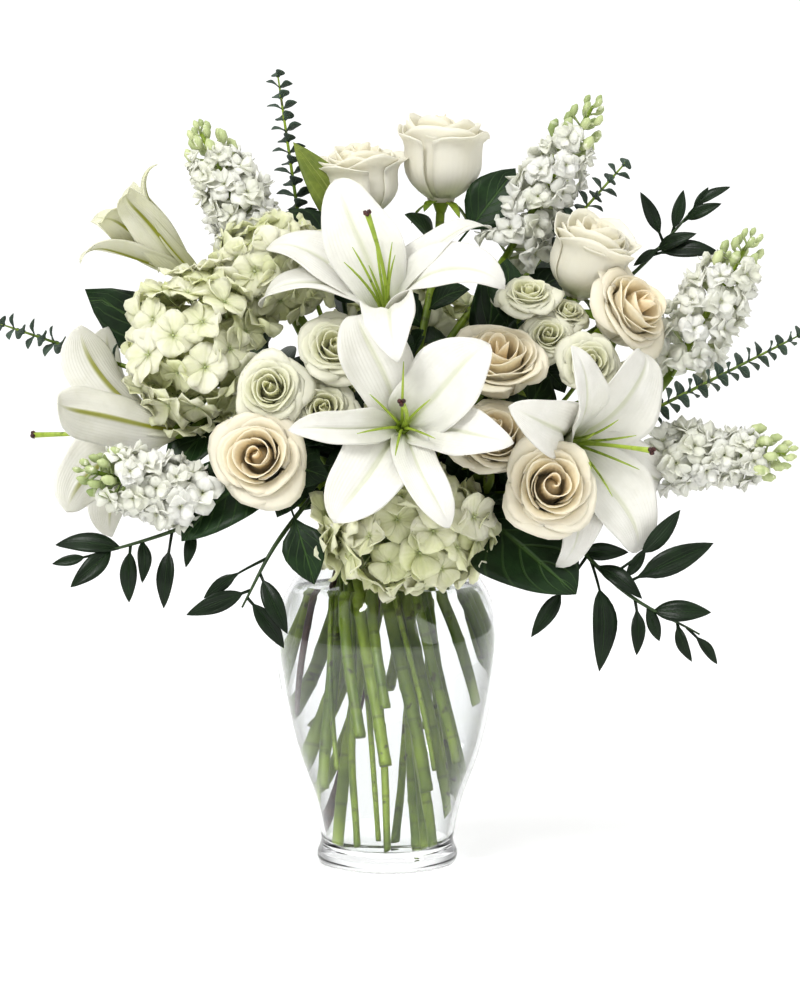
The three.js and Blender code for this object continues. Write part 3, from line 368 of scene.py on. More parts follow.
class Wire:
    """A value in a finish. Sums on it become Math nodes."""

    def __init__(self, finish, socket):
        self.finish = finish
        self.socket = socket

    def math(self, operation, *values):
        return self.finish.node("ShaderNodeMath", dict(operation=operation), dict(enumerate(values)))

    def __add__(self, other):
        return self.math("ADD", self, other)

    def __sub__(self, other):
        return self.math("SUBTRACT", self, other)

    def __rsub__(self, other):
        return self.math("SUBTRACT", other, self)

    def __mul__(self, other):
        return self.math("MULTIPLY", self, other)

    def __abs__(self):
        return self.math("ABSOLUTE", self)

    __radd__ = __add__
    __rmul__ = __mul__

    def wave(self):
        return self.math("SINE", self)

    def between(self, low, high):
        """0 below low, 1 above high, and a smooth rise between them."""
        settings = dict(interpolation_type="SMOOTHSTEP")
        return self.finish.node("ShaderNodeMapRange", settings, {0: self, 1: low, 2: high})


class Finish:
    """A material under construction. A colour is given as its six-digit code or as a value."""

    def __init__(self, name):
        self.material = bpy.data.materials.new(name)
        self.material.use_nodes = True
        self.tree = self.material.node_tree
        self.tree.nodes.clear()
        self.out = self.tree.nodes.new("ShaderNodeOutputMaterial")
        self.place = self.node("ShaderNodeTexCoord", output="Object")

    def node(self, kind, settings=None, inputs=None, output=0):
        made = self.tree.nodes.new(kind)
        for key, value in (settings or {}).items():
            if key == "stops":
                ramp = made.color_ramp
                while len(ramp.elements) < len(value):
                    ramp.elements.new(0.5)
                for element, (position, shade) in zip(ramp.elements, value):
                    element.position = position
                    element.color = colour(shade)
            else:
                setattr(made, key, value)
        for key, value in (inputs or {}).items():
            if isinstance(value, Wire):
                self.tree.links.new(value.socket, made.inputs[key])
            else:
                made.inputs[key].default_value = colour(value) if isinstance(value, str) else value
        return Wire(self, made.outputs[output])

    def part(self, name, axis):
        """One number of a point attribute."""
        whole = self.node("ShaderNodeAttribute", dict(attribute_name=name), output="Vector")
        return self.node("ShaderNodeSeparateXYZ", inputs={0: whole}, output=axis)

    def noise(self, scale, detail, rough=0.55, stretch=None):
        place = self.place
        if stretch:
            place = self.node("ShaderNodeMapping", inputs={"Vector": place, "Scale": stretch})
        inputs = {"Vector": place, "Scale": scale, "Detail": detail, "Roughness": rough}
        return self.node("ShaderNodeTexNoise", inputs=inputs)

    def mix(self, share, first, second):
        kind = dict(data_type="RGBA")
        return self.node("ShaderNodeMix", kind, {0: share, 6: first, 7: second}, output=2)

    def bump(self, height, strength, distance):
        inputs = {"Strength": strength, "Distance": distance, "Height": height}
        return self.node("ShaderNodeBump", inputs=inputs)

    def surface(self, inputs):
        return self.node("ShaderNodeBsdfPrincipled", inputs=inputs)

    def through(self, surface, light, share):
        """Adds light that comes through a thin petal or leaf."""
        behind = self.node("ShaderNodeBsdfTranslucent", inputs={"Color": light})
        return self.node("ShaderNodeMixShader", inputs={0: share, 1: surface, 2: behind})

    def clear(self, surface):
        """Lets lamps shine through glass or water."""
        shadow = self.node("ShaderNodeLightPath", output="Is Shadow Ray")
        bare = self.node("ShaderNodeBsdfTransparent")
        return self.node("ShaderNodeMixShader", inputs={0: shadow, 1: surface, 2: bare})

    def done(self, surface):
        self.tree.links.new(surface.socket, self.out.inputs["Surface"])
        return self.material


def glass_finish():
    f = Finish("clear_glass")
    waves = f.noise(18, 2, 0.5, (1, 1, 0.35))
    rough = waves * 0.003
    normal = f.bump(waves, 0.04, 0.004)
    body = f.surface({
        "Base Color": (0.97, 0.98, 0.982, 1), "Roughness": rough, "Normal": normal, "IOR": 1.45,
        "Transmission Weight": 1.0,
    })
    return f.done(f.clear(body))


def water_finish():
    f = Finish("water")
    ripples = f.noise(9, 2, 0.5)
    normal = f.bump(ripples, 0.04, 0.004)
    body = f.surface({
        "Base Color": (0.99, 0.995, 0.99, 1), "Roughness": ripples * 0.002, "Normal": normal, "IOR": 1.333,
        "Transmission Weight": 1.0,
    })
    return f.done(f.clear(body))


def petal_finish(name, pale, deep, throat, reach, rib, veins, rough=0.5, light=0.28, vary=0.3):
    """A petal: pale, deeper in its creases, green towards its base and along its midrib, with fine veins. The
    tint's chance leans it to the deep colour too, as painted shade on a hydrangea's inner florets.
    """
    f = Finish(name)
    across, along = f.part("grain", "X"), f.part("grain", "Y")
    chance = f.part("tint", "Y")
    blotch = f.noise(38, 4, 0.6)
    # Blotches and the tint's chance lean to the deep colour: random tone, and on hydrangea florets painted
    # shade as well.
    base = f.mix(blotch.between(0.38, 0.66) * 0.4 + chance * vary, pale, deep)
    glow = 1 - along.between(0.0, reach)
    groove = 1 - abs(across).between(0.0, 0.34)
    line = 1 - abs(across).between(0.03, 0.13)
    fade = 1 - along.between(0.7, 0.98)
    base = f.mix(glow * glow * 0.45 + glow * groove * 0.5 + line * fade * rib, base, throat)
    ribs = (across * veins + f.noise(60, 2) * 1.4).wave()
    grain = f.noise(900, 3, 0.6)
    height = ribs * 0.35 + grain * 0.3 + f.noise(120, 3) * 0.8
    normal = f.bump(height, 0.35, 0.0006)
    body = f.surface({
        "Base Color": base, "Roughness": grain * 0.15 + (rough - 0.08), "Normal": normal,
        "Specular IOR Level": 0.35, "Sheen Weight": 0.1, "Sheen Roughness": 0.5,
    })
    return f.done(f.through(body, base, light))


def rose_finish(name, heart, middle, outside, base_green):
    """A rose petal: warmer at the heart of the bloom, paler outside, green where it joins the stem."""
    f = Finish(name)
    across, along = f.part("grain", "X"), f.part("grain", "Y")
    layer, chance = f.part("tint", "X"), f.part("tint", "Y")
    stops = dict(stops=[(0.0, heart), (0.5, middle), (1.0, outside)])
    warm = f.node("ShaderNodeValToRGB", stops, {0: layer + chance * 0.12})
    blotch = f.noise(45, 4, 0.6).between(0.4, 0.7)
    base = f.mix(blotch * 0.35, warm, middle)
    base = f.mix(along.between(0.75, 1.0) * 0.45, base, outside)
    base = f.mix((1 - along.between(0.02, 0.34)) * 0.6, base, base_green)
    veins = (across * 46 + f.noise(70, 2) * 2.5).wave()
    height = veins * 0.22 + f.noise(160, 3) * 0.9 + f.noise(1000, 2) * 0.25
    normal = f.bump(height, 0.3, 0.0006)
    body = f.surface({
        "Base Color": base, "Roughness": f.noise(300, 2) * 0.15 + 0.42, "Normal": normal,
        "Specular IOR Level": 0.35, "Sheen Weight": 0.15, "Sheen Roughness": 0.4,
    })
    return f.done(f.through(body, base, 0.38))


def stem_finish(name, light, dark, scar):
    """A cut stem: streaked along its length, with darker joints."""
    f = Finish(name)
    along = f.part("grain", "Y")
    chance = f.part("tint", "Y")
    streak = f.noise(140, 3, 0.6, (1, 1, 0.12))
    broad = f.noise(14, 3, 0.5)
    base = f.mix(broad.between(0.35, 0.65) * 0.6 + chance * 0.35, light, dark)
    base = f.mix(streak.between(0.45, 0.7) * 0.5, base, dark)
    spots = f.noise(85, 3, 0.6).between(0.6, 0.68)
    base = f.mix(spots * 0.75, base, scar)
    joint = (along * 0.16 + chance * 5).wave().between(0.965, 0.995)
    base = f.mix(joint * 0.3, base, scar)
    height = streak * 0.7 + spots * 0.6 + joint * 0.4
    normal = f.bump(height, 0.5, 0.0008)
    body = f.surface({"Base Color": base, "Roughness": streak * 0.2 + 0.32, "Normal": normal})
    return f.done(body)


def leaf_finish(name, light, dark, rib, rough, side_veins, light_through=0.12):
    """A leaf: darker in the middle of each half, with a pale midrib and side veins that slant to the tip."""
    f = Finish(name)
    across, along = f.part("grain", "X"), f.part("grain", "Y")
    chance = f.part("tint", "Y")
    side = abs(across)
    tone = f.noise(55, 4, 0.6)
    base = f.mix(tone.between(0.35, 0.68) * 0.7 + chance * 0.3, dark, light)
    midrib = 1 - side.between(0.015, 0.07)
    slant = ((along * side_veins - side * 2.4) * 6.2832 + f.noise(30, 2) * 1.5).wave()
    vein = slant.between(0.8, 1.0) * (1 - side * 0.5)
    base = f.mix(vein * 0.45, base, rib)
    base = f.mix(midrib * 0.8, base, rib)
    height = tone * 0.5 - vein * 0.6 - midrib * 1.2 + f.noise(420, 3) * 0.35
    normal = f.bump(height, 0.6, 0.0009)
    body = f.surface({
        "Base Color": base, "Roughness": tone * 0.16 + rough, "Normal": normal, "Specular IOR Level": 0.35,
    })
    return f.done(f.through(body, light, light_through))


def dark_tip_finish():
    f = Finish("stigma")
    grain = f.noise(500, 3)
    base = f.mix(grain.between(0.35, 0.7), "2a1210", "5a2a22")
    normal = f.bump(grain, 0.5, 0.0005)
    return f.done(f.surface({"Base Color": base, "Roughness": grain * 0.2 + 0.3, "Normal": normal}))


def floor_finish():
    f = Finish("pale_floor")
    cloud = f.noise(2.2, 3)
    base = f.mix(cloud, (0.95, 0.95, 0.95, 1), (0.97, 0.97, 0.97, 1))
    return f.done(f.surface({"Base Color": base, "Roughness": cloud * 0.1 + 0.6, "Specular IOR Level": 0.2}))


GLASS = glass_finish()
WATER = water_finish()
LILY_WHITE = petal_finish("lily_petal", "f2f1ec", "e2e1d8", "b4c25e", 0.34, 0.2, 60)
LILY_SIDE = petal_finish("lily_back", "f3f2ec", "e2e1d4", "a8aa3e", 0.3, 0.9, 60)
LILY_BUD = petal_finish("lily_bud", "ecebdc", "d9dab4", "9ea238", 0.95, 0.9, 60)
ROSE_CREAM = rose_finish("rose_petal", "fcebc8", "f9f1da", "f7f3e5", "e0e0b0")
ROSE_IVORY = rose_finish("ivory_rose_petal", "f7efd6", "f7f4e4", "f8f6ec", "dadfaa")
ROSE_SPRAY = rose_finish("spray_rose_petal", "e6e6b8", "efefd6", "f4f3e6", "c6cf8c")
# Its deep colour is also painted shade on each head's inner florets, through their tint.
HYDRANGEA = petal_finish("hydrangea_floret", "f9f8ea", "e3e7b4", "c9d28a", 0.3, 0.1, 22, 0.55, 0.4, 0.6)
STOCK = petal_finish("stock_floret", "fbfbf8", "eeefdf", "d6dca8", 0.24, 0.0, 14, 0.55, 0.4, 0.4)
STEM = stem_finish("green_stem", "94aa2e", "3f5a15", "2c1c0c")
WOODY = stem_finish("dark_stem", "54322c", "301d1b", "1a100e")
STYLE = stem_finish("style", "a9bb4c", "7f9632", "6d802c")
BUD_GREEN = stem_finish("bud", "c9d0a2", "84965a", "ecedda")
DARK_STEM = stem_finish("dark_green_stem", "41582c", "22371a", "19240f")
STIGMA = dark_tip_finish()
EUCALYPTUS_LEAF = leaf_finish("eucalyptus_leaf", "55675a", "37473b", "7b8974", 0.5, 5)
RUSCUS_LEAF = leaf_finish("ruscus_leaf", "1a3014", "0b1a09", "2a4220", 0.3, 1.2)
SALAL_LEAF = leaf_finish("salal_leaf", "1f3a18", "0d200b", "4a6634", 0.34, 7)
OLIVE_LEAF = leaf_finish("olive_leaf", "8f9d48", "55662a", "a4ae62", 0.36, 1.1, 0.25)
ROSE_LEAF = leaf_finish("rose_leaf", "223f1a", "0f240d", "456231", 0.38, 8)


# ---- The vase and its water ----
def vase_walls():
    """The outer and the inner outline of the glass, as (radius, height)."""
    outer = [Vector(p) for p in VASE_OUTLINE]
    inner = []
    for i, p in enumerate(outer):
        along = outer[min(i + 1, len(outer) - 1)] - outer[max(i - 1, 0)]
        inner.append(Vector((p.x - along.y / along.length * WALL, p.y + along.x / along.length * WALL)))
    inner = [p for p in inner if p.y > BASE_THICKNESS + 6]
    return outer, [Vector((inner[0].x - FLOOR_ROUNDING, BASE_THICKNESS))] + inner


OUTER_WALL, INNER_WALL = vase_walls()


def inner_radius(height):
    i = next((k for k, p in enumerate(INNER_WALL) if p.y > height), -1)
    i = int(clamp(i, 1, len(INNER_WALL) - 1))
    low, high = INNER_WALL[i - 1], INNER_WALL[i]
    share = clamp((height - low.y) / (high.y - low.y))
    return (low.x + (high.x - low.x) * share) * math.cos(math.pi / LATHE_SIDES)


TURN_STEPS = 96  # round the vase
WALL_STEPS = 6  # on its outline, from one point to the next


def turned(bm, profile):
    """Spins an outline of (radius, height) points round the Z axis into a closed body."""
    verts = [bm.verts.new((max(r, 0.0), 0, z)) for r, z in profile]
    edges = [bm.edges.new(pair) for pair in zip(verts, verts[1:])]
    bmesh.ops.spin(
        bm, geom=verts + edges, cent=(0, 0, 0), axis=(0, 0, 1), dvec=(0, 0, 0), angle=math.tau,
        steps=TURN_STEPS, use_merge=True, use_normal_flip=False, use_duplicate=False,
    )
    bmesh.ops.remove_doubles(bm, verts=bm.verts, dist=0.001)


def smooth_wall(points):
    return [(p.x, p.y) for p in smooth_run([(q.x, q.y, 0) for q in points], WALL_STEPS)]


def make_vase():
    bm = new_shape()
    foot = [
        (0, 1.5), (40, 1.5), (46, 0.4), (50.5, 0), (52.6, 0.8), (54, 3.2), (54.6, 7), (54.2, 10.5),
        (52.6, 14), (51.4, 18),
    ]
    outside = smooth_wall([Vector((51.3, 20))] + OUTER_WALL[3:])
    lip = [(54.6, 273.4), (53.4, 274.4), (51.6, 273.6)]
    inside = smooth_wall(INNER_WALL[1:])[::-1]
    floor = [
        (INNER_WALL[1].x - 1.2, 15), (INNER_WALL[0].x, BASE_THICKNESS + 1.2),
        (INNER_WALL[0].x - 6, BASE_THICKNESS), (0, BASE_THICKNESS - 0.6),
    ]
    turned(bm, foot + outside + lip + inside + floor)
    piece("vase_glass", bm, [GLASS], ["vase"])


def make_water():
    bm = new_shape()
    side = [p for p in smooth_wall(INNER_WALL[1:]) if p[1] < WATER_LEVEL - 1]
    side = [(r - GAP, z) for r, z in side]
    rim = inner_radius(WATER_LEVEL)
    low = [
        (0, BASE_THICKNESS), (INNER_WALL[0].x - 6, BASE_THICKNESS + GAP),
        (INNER_WALL[0].x - 1, BASE_THICKNESS + 1.8), (INNER_WALL[1].x - 1.8, 15),
    ]
    creep = [(rim + 0.4, WATER_LEVEL + 1.6), (rim - 1.4, WATER_LEVEL + 0.3)]  # the water climbs the glass
    top = [(rim - 4, WATER_LEVEL), (0, WATER_LEVEL)]
    turned(bm, low + side + creep + top)
    piece("water_body", bm, [WATER], ["water"])


# ---- Stems ----
PLANTS = {}
UPPER_STEPS = 14  # of a stem's bend, from the vase's neck to its bloom
STRAIGHT_STEPS = 44  # of its straight part, from its cut end to the neck


def add_plant(name, ring, radius, head, arriving, **rest):
    head, arriving = Vector(head), Vector(arriving)
    PLANTS[name] = dict(name=name, ring=ring, radius=radius, head=head, arriving=arriving, **rest)


for i, stem in enumerate(LILY_STEMS):
    blooms = stem["blooms"]
    head = Vector(stem["fork"] or blooms[0]["at"])
    arriving = Vector(blooms[0]["aim"])
    if stem["fork"]:
        arriving = (Vector(blooms[0]["at"]) + Vector(blooms[1]["at"])) / 2 - head
    rest = dict(blooms=blooms, forked=bool(stem["fork"]))
    add_plant(f"lily_stem_{i + 1}", stem["ring"], stem["radius"], head, arriving, **rest)
for i, bloom in enumerate(ROSES):
    add_plant(f"rose_stem_{i + 1}", bloom["ring"], STEM_RADII["rose"], bloom["at"], bloom["aim"])
for i, spray in enumerate(SPRAYS):
    centre = sum((Vector(bloom["at"]) for bloom in spray["blooms"]), Vector()) / len(spray["blooms"])
    fork = Vector(spray["fork"])
    rest = dict(blooms=spray["blooms"])
    add_plant(f"spray_roses_{i + 1}", spray["ring"], STEM_RADII["spray"], fork, centre - fork, **rest)
for i, head in enumerate(HYDRANGEAS):
    add_plant(f"hydrangea_stem_{i + 1}", head["ring"], STEM_RADII["hydrangea"], head["neck"], head["into"])
for kind, spikes in (("stock", STOCKS), ("eucalyptus", EUCALYPTUS)):
    for i, spike in enumerate(spikes):
        base, tip = Vector(spike["base"]), Vector(spike["tip"])
        name = f"stock_stem_{i + 1}" if kind == "stock" else f"{kind}_{i + 1}"
        add_plant(name, spike["ring"], STEM_RADII[kind], base, tip - base)
for kind, sprigs in (("ruscus", RUSCUS), ("salal", SALAL)):
    for i, sprig in enumerate(sprigs):
        first, second = Vector(sprig["points"][0]), Vector(sprig["points"][1])
        add_plant(f"{kind}_{i + 1}", sprig["ring"], STEM_RADII[kind], first, second - first)


def place_stems():
    """Deals the stems of each ring their places in the neck, in the order of the way that they lean."""
    for number, ring in enumerate(BINDING_RINGS):
        held = sorted(
            (plant for plant in PLANTS.values() if plant["ring"] == number),
            key=lambda plant: math.atan2(plant["head"].y, plant["head"].x),
        )
        for place, plant in enumerate(held):
            angle = math.radians(ring["turn"] + place * 360 / len(held) - 180)
            outward = Vector((math.cos(angle), math.sin(angle), 0))
            around = Vector((-outward.y, outward.x, 0))
            splay = ring["splay"] * (0.5 + 0.5 * wobble(place, number + 3))
            twist = ring["twist"] * (1 + ring["vary"] * wobble(place, number + 6))
            neck = outward * ring["radius"]
            neck.z = BINDING_HEIGHT
            fall = around * (twist * ring["radius"]) + outward * (splay * ring["radius"])
            fall.z = -1
            depth = 0
            while True:
                foot = neck + fall * depth
                room = inner_radius(foot.z - plant["radius"] * 0.4) - GAP - plant["radius"] * 1.12
                if math.hypot(foot.x, foot.y) > room or foot.z < BASE_THICKNESS + GAP + plant["radius"] * 0.6:
                    break
                depth += 1
            plant["neck"], plant["fall"], plant["foot"] = neck, fall, neck + fall * (depth - 1)


def bend(start, leaving, end, arriving, steps):
    reach = (start - end).length
    a, d = Vector(start), Vector(end)
    b = a + leaving.normalized() * reach * 0.4
    c = d - arriving.normalized() * reach * 0.35
    run = []
    for i in range(steps + 1):
        t = i / steps
        run.append(a * (1 - t) ** 3 + b * 3 * t * (1 - t) ** 2 + c * 3 * t**2 * (1 - t) + d * t**3)
    return run


place_stems()
for plant in PLANTS.values():
    plant["upper"] = bend(plant["neck"], -plant["fall"], plant["head"], plant["arriving"], UPPER_STEPS)


def stalk(bm, plant, number, finish, end):
    """A main stem: straight and jointed in the vase, slanted where it was cut, then bent to its bloom."""
    radius = plant["radius"]
    foot, neck = plant["foot"], plant["neck"]
    points, radii = [], []
    spacing = 34 + 12 * wobble(number, 4)
    length = (neck - foot).length
    sway = frame_at(foot, neck - foot, 180 * wobble(number, 8)).to_3x3() @ Vector((1, 0, 0))
    for i in range(STRAIGHT_STEPS):
        share = i / STRAIGHT_STEPS
        run = share * length
        near = abs((run + spacing * 0.4) % spacing - spacing / 2)
        swell = 0.1 * math.exp(-((near / 2.6) ** 2))
        points.append(foot.lerp(neck, share) + sway * (1.3 * math.sin(run / 34) * math.sin(math.pi * share)))
        radii.append(radius * (1.06 - 0.1 * share + swell))
    for i, point in enumerate(plant["upper"]):
        points.append(point)
        radii.append(radius * (0.96 + (end - 0.96) * (i / UPPER_STEPS) ** 3))
    slant = 0.5 + 0.5 * wobble(number, 2)
    tube(bm, points, radii, 10, slant, (0.5, 0.5 + 0.5 * wobble(number, 6)), finish)


def branch(bm, plant, bloom, radius, parts, finish=0):
    """A branch from a forked stem to one of its blooms, with as many steps as sides."""
    run = bend(plant["head"], plant["arriving"], Vector(bloom["at"]), Vector(bloom["aim"]), parts)
    tube(bm, run, [radius] * (parts + 1), parts, finish=finish)


# ---- Leaves ----
LARGE_LEAF_THICKNESS = 0.7
SMALL_LEAF_THICKNESS = 0.6
SERRATED_WIDTH = 60  # a leaf wider than this has teeth along its edge
TEETH = 26
LEAVES_OF_STEM = 7  # on the upper part of a stem, under its bloom
STEM_LEAF_LENGTH = 36
STEM_LEAF_WIDTH = 27


def leaf(bm, root, tip, face, width, blade, rows, columns, finish, teeth, seed, thickness):
    """A pointed leaf on a stalk, from a root to a tip, with its upper face turned to a side."""
    reach = tip - root
    length = reach.length
    along = reach.normalized()
    up = (face - along * face.dot(along)).normalized()
    across = along.cross(up)
    bare = clamp(1 - blade / length, 0, 0.8)
    sway = wobble(seed, 12)

    def place(t, u):
        share = clamp((t - bare) / (1 - bare))
        full = max(math.sin(math.pi * share**0.8), 0) ** 0.85
        half = max(1.1 * (1 - t), width / 2 * full)
        if teeth:
            half *= 1 + 0.045 * (abs((share * teeth) % 1 - 0.5) * 2 - 0.5)
        arch = length * 0.1 * math.sin(math.pi * t)
        crease = abs(u) ** 1.3 * half * 0.22
        ripple = 0.03 * width * math.sin(share * 9 + seed) * u * u * full
        side = length * 0.04 * sway * math.sin(math.pi * t)
        return root + reach * t + up * (arch + crease + ripple) + across * (u * half + side)

    sheet(bm, place, rows, columns, thickness, (0.5, 0.5 + 0.5 * sway), finish)


def large_leaves(bm, plant):
    for k, item in enumerate(LEAVES.get(plant["name"], [])):
        tip = Vector(item["tip"])
        root = along_run(plant["upper"], item["share"])[0]
        face = Vector((tip.x * 0.4, tip.y - 60, 60)).normalized()
        width, blade, look = item["width"], item["blade"], item.get("look", 1)
        teeth = TEETH if width > SERRATED_WIDTH else 0
        rows, columns = (40, 10) if teeth else (14, 6)
        leaf(bm, root, tip, face, width, blade, rows, columns, look, teeth, k + 3, LARGE_LEAF_THICKNESS)


def stem_leaves(bm, plant, seed, finish):
    """Small leaves that fill the dark space between the stems, under the blooms."""
    for k in range(LEAVES_OF_STEM):
        root, along = along_run(plant["upper"], 0.4 + 0.055 * k)
        theta = math.radians(k * GOLDEN_ANGLE + 60 * seed)
        placed = frame_at(root, along)
        reach = placed.to_3x3() @ Vector((math.cos(theta), math.sin(theta), 0.5))
        tip = root + reach * (STEM_LEAF_LENGTH + 5 * wobble(k, seed))
        face = Vector((0, -0.7, 0.7)) + reach * 0.1
        width, blade = STEM_LEAF_WIDTH, STEM_LEAF_LENGTH
        leaf(bm, root, tip, face, width, blade, 8, 4, finish, 0, k + seed, SMALL_LEAF_THICKNESS)


def ruscus_leaves(bm, sprig, run, seed):
    for k, (share, tip, blade) in enumerate(sprig["leaves"]):
        face = Vector((0.6 * wobble(k, 1), -1, 0.35 + 0.4 * wobble(k, 2)))
        root = along_run(run, min(share, LAST_NODE))[0]
        width = blade * RUSCUS_WIDTH
        leaf(bm, root, Vector(tip), face, width, blade, 14, 4, 1, 0, seed * 9 + k, SMALL_LEAF_THICKNESS)


def salal_leaves(bm, sprig, run, seed):
    for k, (share, angle, length) in enumerate(sprig["leaves"]):
        root, along = along_run(run, min(share, LAST_NODE))
        placed = frame_at(root, along)
        lean = 0.25 if share == 1 else 0.8
        theta = math.radians(angle)
        reach = Vector((math.cos(theta) * lean, math.sin(theta) * lean, 1 - 0.35 * lean)).normalized()
        tip = placed @ (reach * length)
        face = placed.to_3x3() @ Vector((-math.cos(theta), -math.sin(theta), 1))
        width, blade = length * SALAL_WIDTH, length * 0.94
        leaf(bm, root, tip, face, width, blade, 14, 6, 1, 0, seed * 9 + k, SMALL_LEAF_THICKNESS)


# ---- Lilies ----
SIDE_LILY, HALF_OPEN_LILY = 3, 4  # their numbers
SIDE_LILY_TWISTS = (-1.1, 0.1, 0.9, 0.9, 0, -0.9)  # turn the tepals of the side-view lily to the front


def tepal_line(t, start, length, lean, tip_lean, curl):
    """How far from the axis and along it a tepal's middle line is, and how it leans."""
    steps = 24
    out, up, angle = start, 0.0, math.radians(lean)
    for i in range(steps):
        s = (i + 0.5) / steps * t
        angle = math.radians(lean + (tip_lean - lean) * s**1.15 + curl * clamp((s - 0.7) / 0.3) ** 1.5)
        out += math.sin(angle) * length * t / steps
        up += math.cos(angle) * length * t / steps
    return out, up, angle


def tepal_width(t):
    """How wide a tepal is at a share of its length: 1 in its middle, narrow at its base, then pointed."""
    return ((t + 0.06) * max(0, 1 - t)) ** 0.75 / 0.386


def lily(bm, bloom, seed):
    placed = frame_at(bloom["at"], bloom["aim"])
    lean = bloom["lean"]
    shut = lean < 10
    for k, (angle, tip_lean, share) in enumerate(bloom["tepals"]):
        turn = placed @ Matrix.Rotation(math.radians(angle), 4, "Z")
        half = bloom["width"] * share
        start, own_lean = (4, lean + 6) if k % 2 else (2.4, lean)
        phase = 3 * wobble(k, seed)
        ruffle = 0.6 if shut else 2.6 + 0.9 * wobble(k, seed + 4)
        twist = 0.0 if shut else 0.3 * wobble(k, seed + 6)
        if seed == SIDE_LILY:
            twist = SIDE_LILY_TWISTS[k]

        def place(t, u):
            t = min(t, 0.9995)
            out, up, lie = tepal_line(t, start, bloom["length"], own_lean, tip_lean, bloom["curl"])
            outward, upward = math.sin(lie), math.cos(lie)
            wrap = 0.95 * (1 - t) ** 2 + 0.3
            w = max(tepal_width(t), 0.02) * half * (1 + 0.05 * abs(u) * math.sin(t * 11 + 2 * phase))
            middle = math.sin(math.pi * min(1, t * 1.1)) ** 0.5
            inward = (w / wrap) * (1 - math.cos(wrap * u))
            inward += ruffle * abs(u) ** 2.2 * math.sin(math.pi * t) * math.sin(t * 13 + phase + 2.4 * u)
            inward -= 2.1 * math.exp(-((u / 0.11) ** 2)) * middle
            inward += 0.7 * math.exp(-(((abs(u) - 0.24) / 0.1) ** 2)) * middle
            inward += twist * w * u * t
            y = (w / wrap) * math.sin(wrap * u) + 2.4 * math.sin(math.pi * t) * math.sin(t * 4 + phase)
            return turn @ Vector((out - upward * inward, y, up + outward * inward))

        sheet(bm, place, 30, 16, 0.9, (0.5, 0.5 + 0.5 * wobble(k, seed + 2)), 0)
    cup = [placed @ Vector((0, 0, z)) for z in (-5, -1, 3, 8)]
    tube(bm, cup, [3.6, 5.4, 6.4, 5], 12, 0, finish=1)


def lily_heart(bm, bloom, seed):
    """The filaments and the longer style with its dark stigma."""
    placed = frame_at(bloom["at"], bloom["aim"])
    length, lean = bloom["length"], bloom["lean"]
    end = Vector((3, 4, length * bloom["style"]))

    def bow(s):
        return placed @ Vector((end.x * s + 3.5 * math.sin(math.pi * s), end.y * s, -1 + (end.z + 1) * s))

    run = [bow(s) for s in (0, 0.12, 0.25, 0.4, 0.55, 0.7, 0.85, 1)]
    tube(bm, run, [2.4, 2.5, 2.1, 1.5, 1.4, 1.5, 1.8, 2.2], 8, finish=1)
    way = (run[-1] - run[-2]).normalized()
    knob = frame_at(run[-1], way)
    for k in range(3):
        theta = math.radians(120 * k + 30)
        side = knob.to_3x3() @ Vector((math.cos(theta), math.sin(theta), 0))
        lobe = [run[-1] + way * z + side * r for z, r in ((-1.5, 0.6), (0.4, 1.6), (1.8, 1.5), (2.4, 1.0))]
        tube(bm, lobe, [1.0, 1.9, 1.6, 0.5], 8, finish=2)
    for k in range(6):
        theta = math.radians(k * 60 + 25)
        spread = lean * (1 + 0.25 * wobble(k, seed))
        points = []
        for i in range(8):
            s = i / 7
            out = 2.2 + spread * s**1.7
            up = length * (0.04 + 0.5 * s)
            points.append(placed @ Vector((math.cos(theta) * out, math.sin(theta) * out, up)))
        tube(bm, points, [1.5, 1.4, 1.2, 1.1, 1.0, 0.9, 0.7, 0.25], 6, finish=1)


# ---- Roses ----
PETALS_OF_ROSE = 19
PETALS_OF_SPRAY_ROSE = 22
ROSE_TURN = 47  # each bloom is turned on by this from the last


def rose_petal(bm, placed, bloom, layer, angle, seed, finish):
    """A petal whose rim rolls back most at its corners. layer runs from 0 at the heart to 1 outside."""
    radius, height, opened = bloom["radius"], bloom["height"], bloom["open"]
    bowl = radius * (0.22 + (0.74 - 0.26 * opened) * layer) * (0.4 + 0.6 * clamp(layer / 0.3))
    flare = radius * layer**2 * (0.1 + 0.3 * opened)
    tall = height * (0.98 - 0.3 * opened * layer) * (1 - 0.05 * wobble(seed, 3))
    droop = height * layer**2 * opened * 0.32
    span = math.radians(104 - 40 * layer)
    swirl = 0.05 + 0.3 * (1 - layer) ** 2
    roll = clamp((layer - 0.15) / 0.5)
    lift = 0.06 * height * layer * wobble(seed, 5)
    phase = 3 * wobble(seed, 1)

    def place(t, u):
        t = 0.1 + 0.9 * t
        s = t * (1 - 0.22 * abs(u) ** 2.2)
        swell = math.sin(math.pi / 2 * min(1, s / 0.5)) ** 0.75
        lip = clamp((s - 0.55) / 0.45)
        r = (bowl * swell + flare * lip**2) * (1 + swirl * u)
        z = tall * s**1.1 - (droop - lift) * lip**2
        back = min(roll * clamp((s - 0.74) / 0.26) * (1.5 + 1.7 * abs(u)), 2.9)
        size = 1.5 + 0.07 * radius * layer
        r += size * math.sin(back) + 2.2 * roll * clamp((abs(u) - 0.55) / 0.45) ** 2 * lip
        z += size * (math.cos(back) - 1)
        r += (0.5 + 1.9 * layer) * math.sin(4.2 * u + phase) * lip**1.5
        z += 2.3 * layer * math.sin(5.3 * u + 2 * phase) * lip**1.5
        theta = math.radians(angle) + u * span
        return placed @ Vector((r * math.cos(theta), r * math.sin(theta), z))

    sheet(bm, place, 12, 10, 0.7, (layer, 0.5 + 0.5 * wobble(seed, 7)), finish)


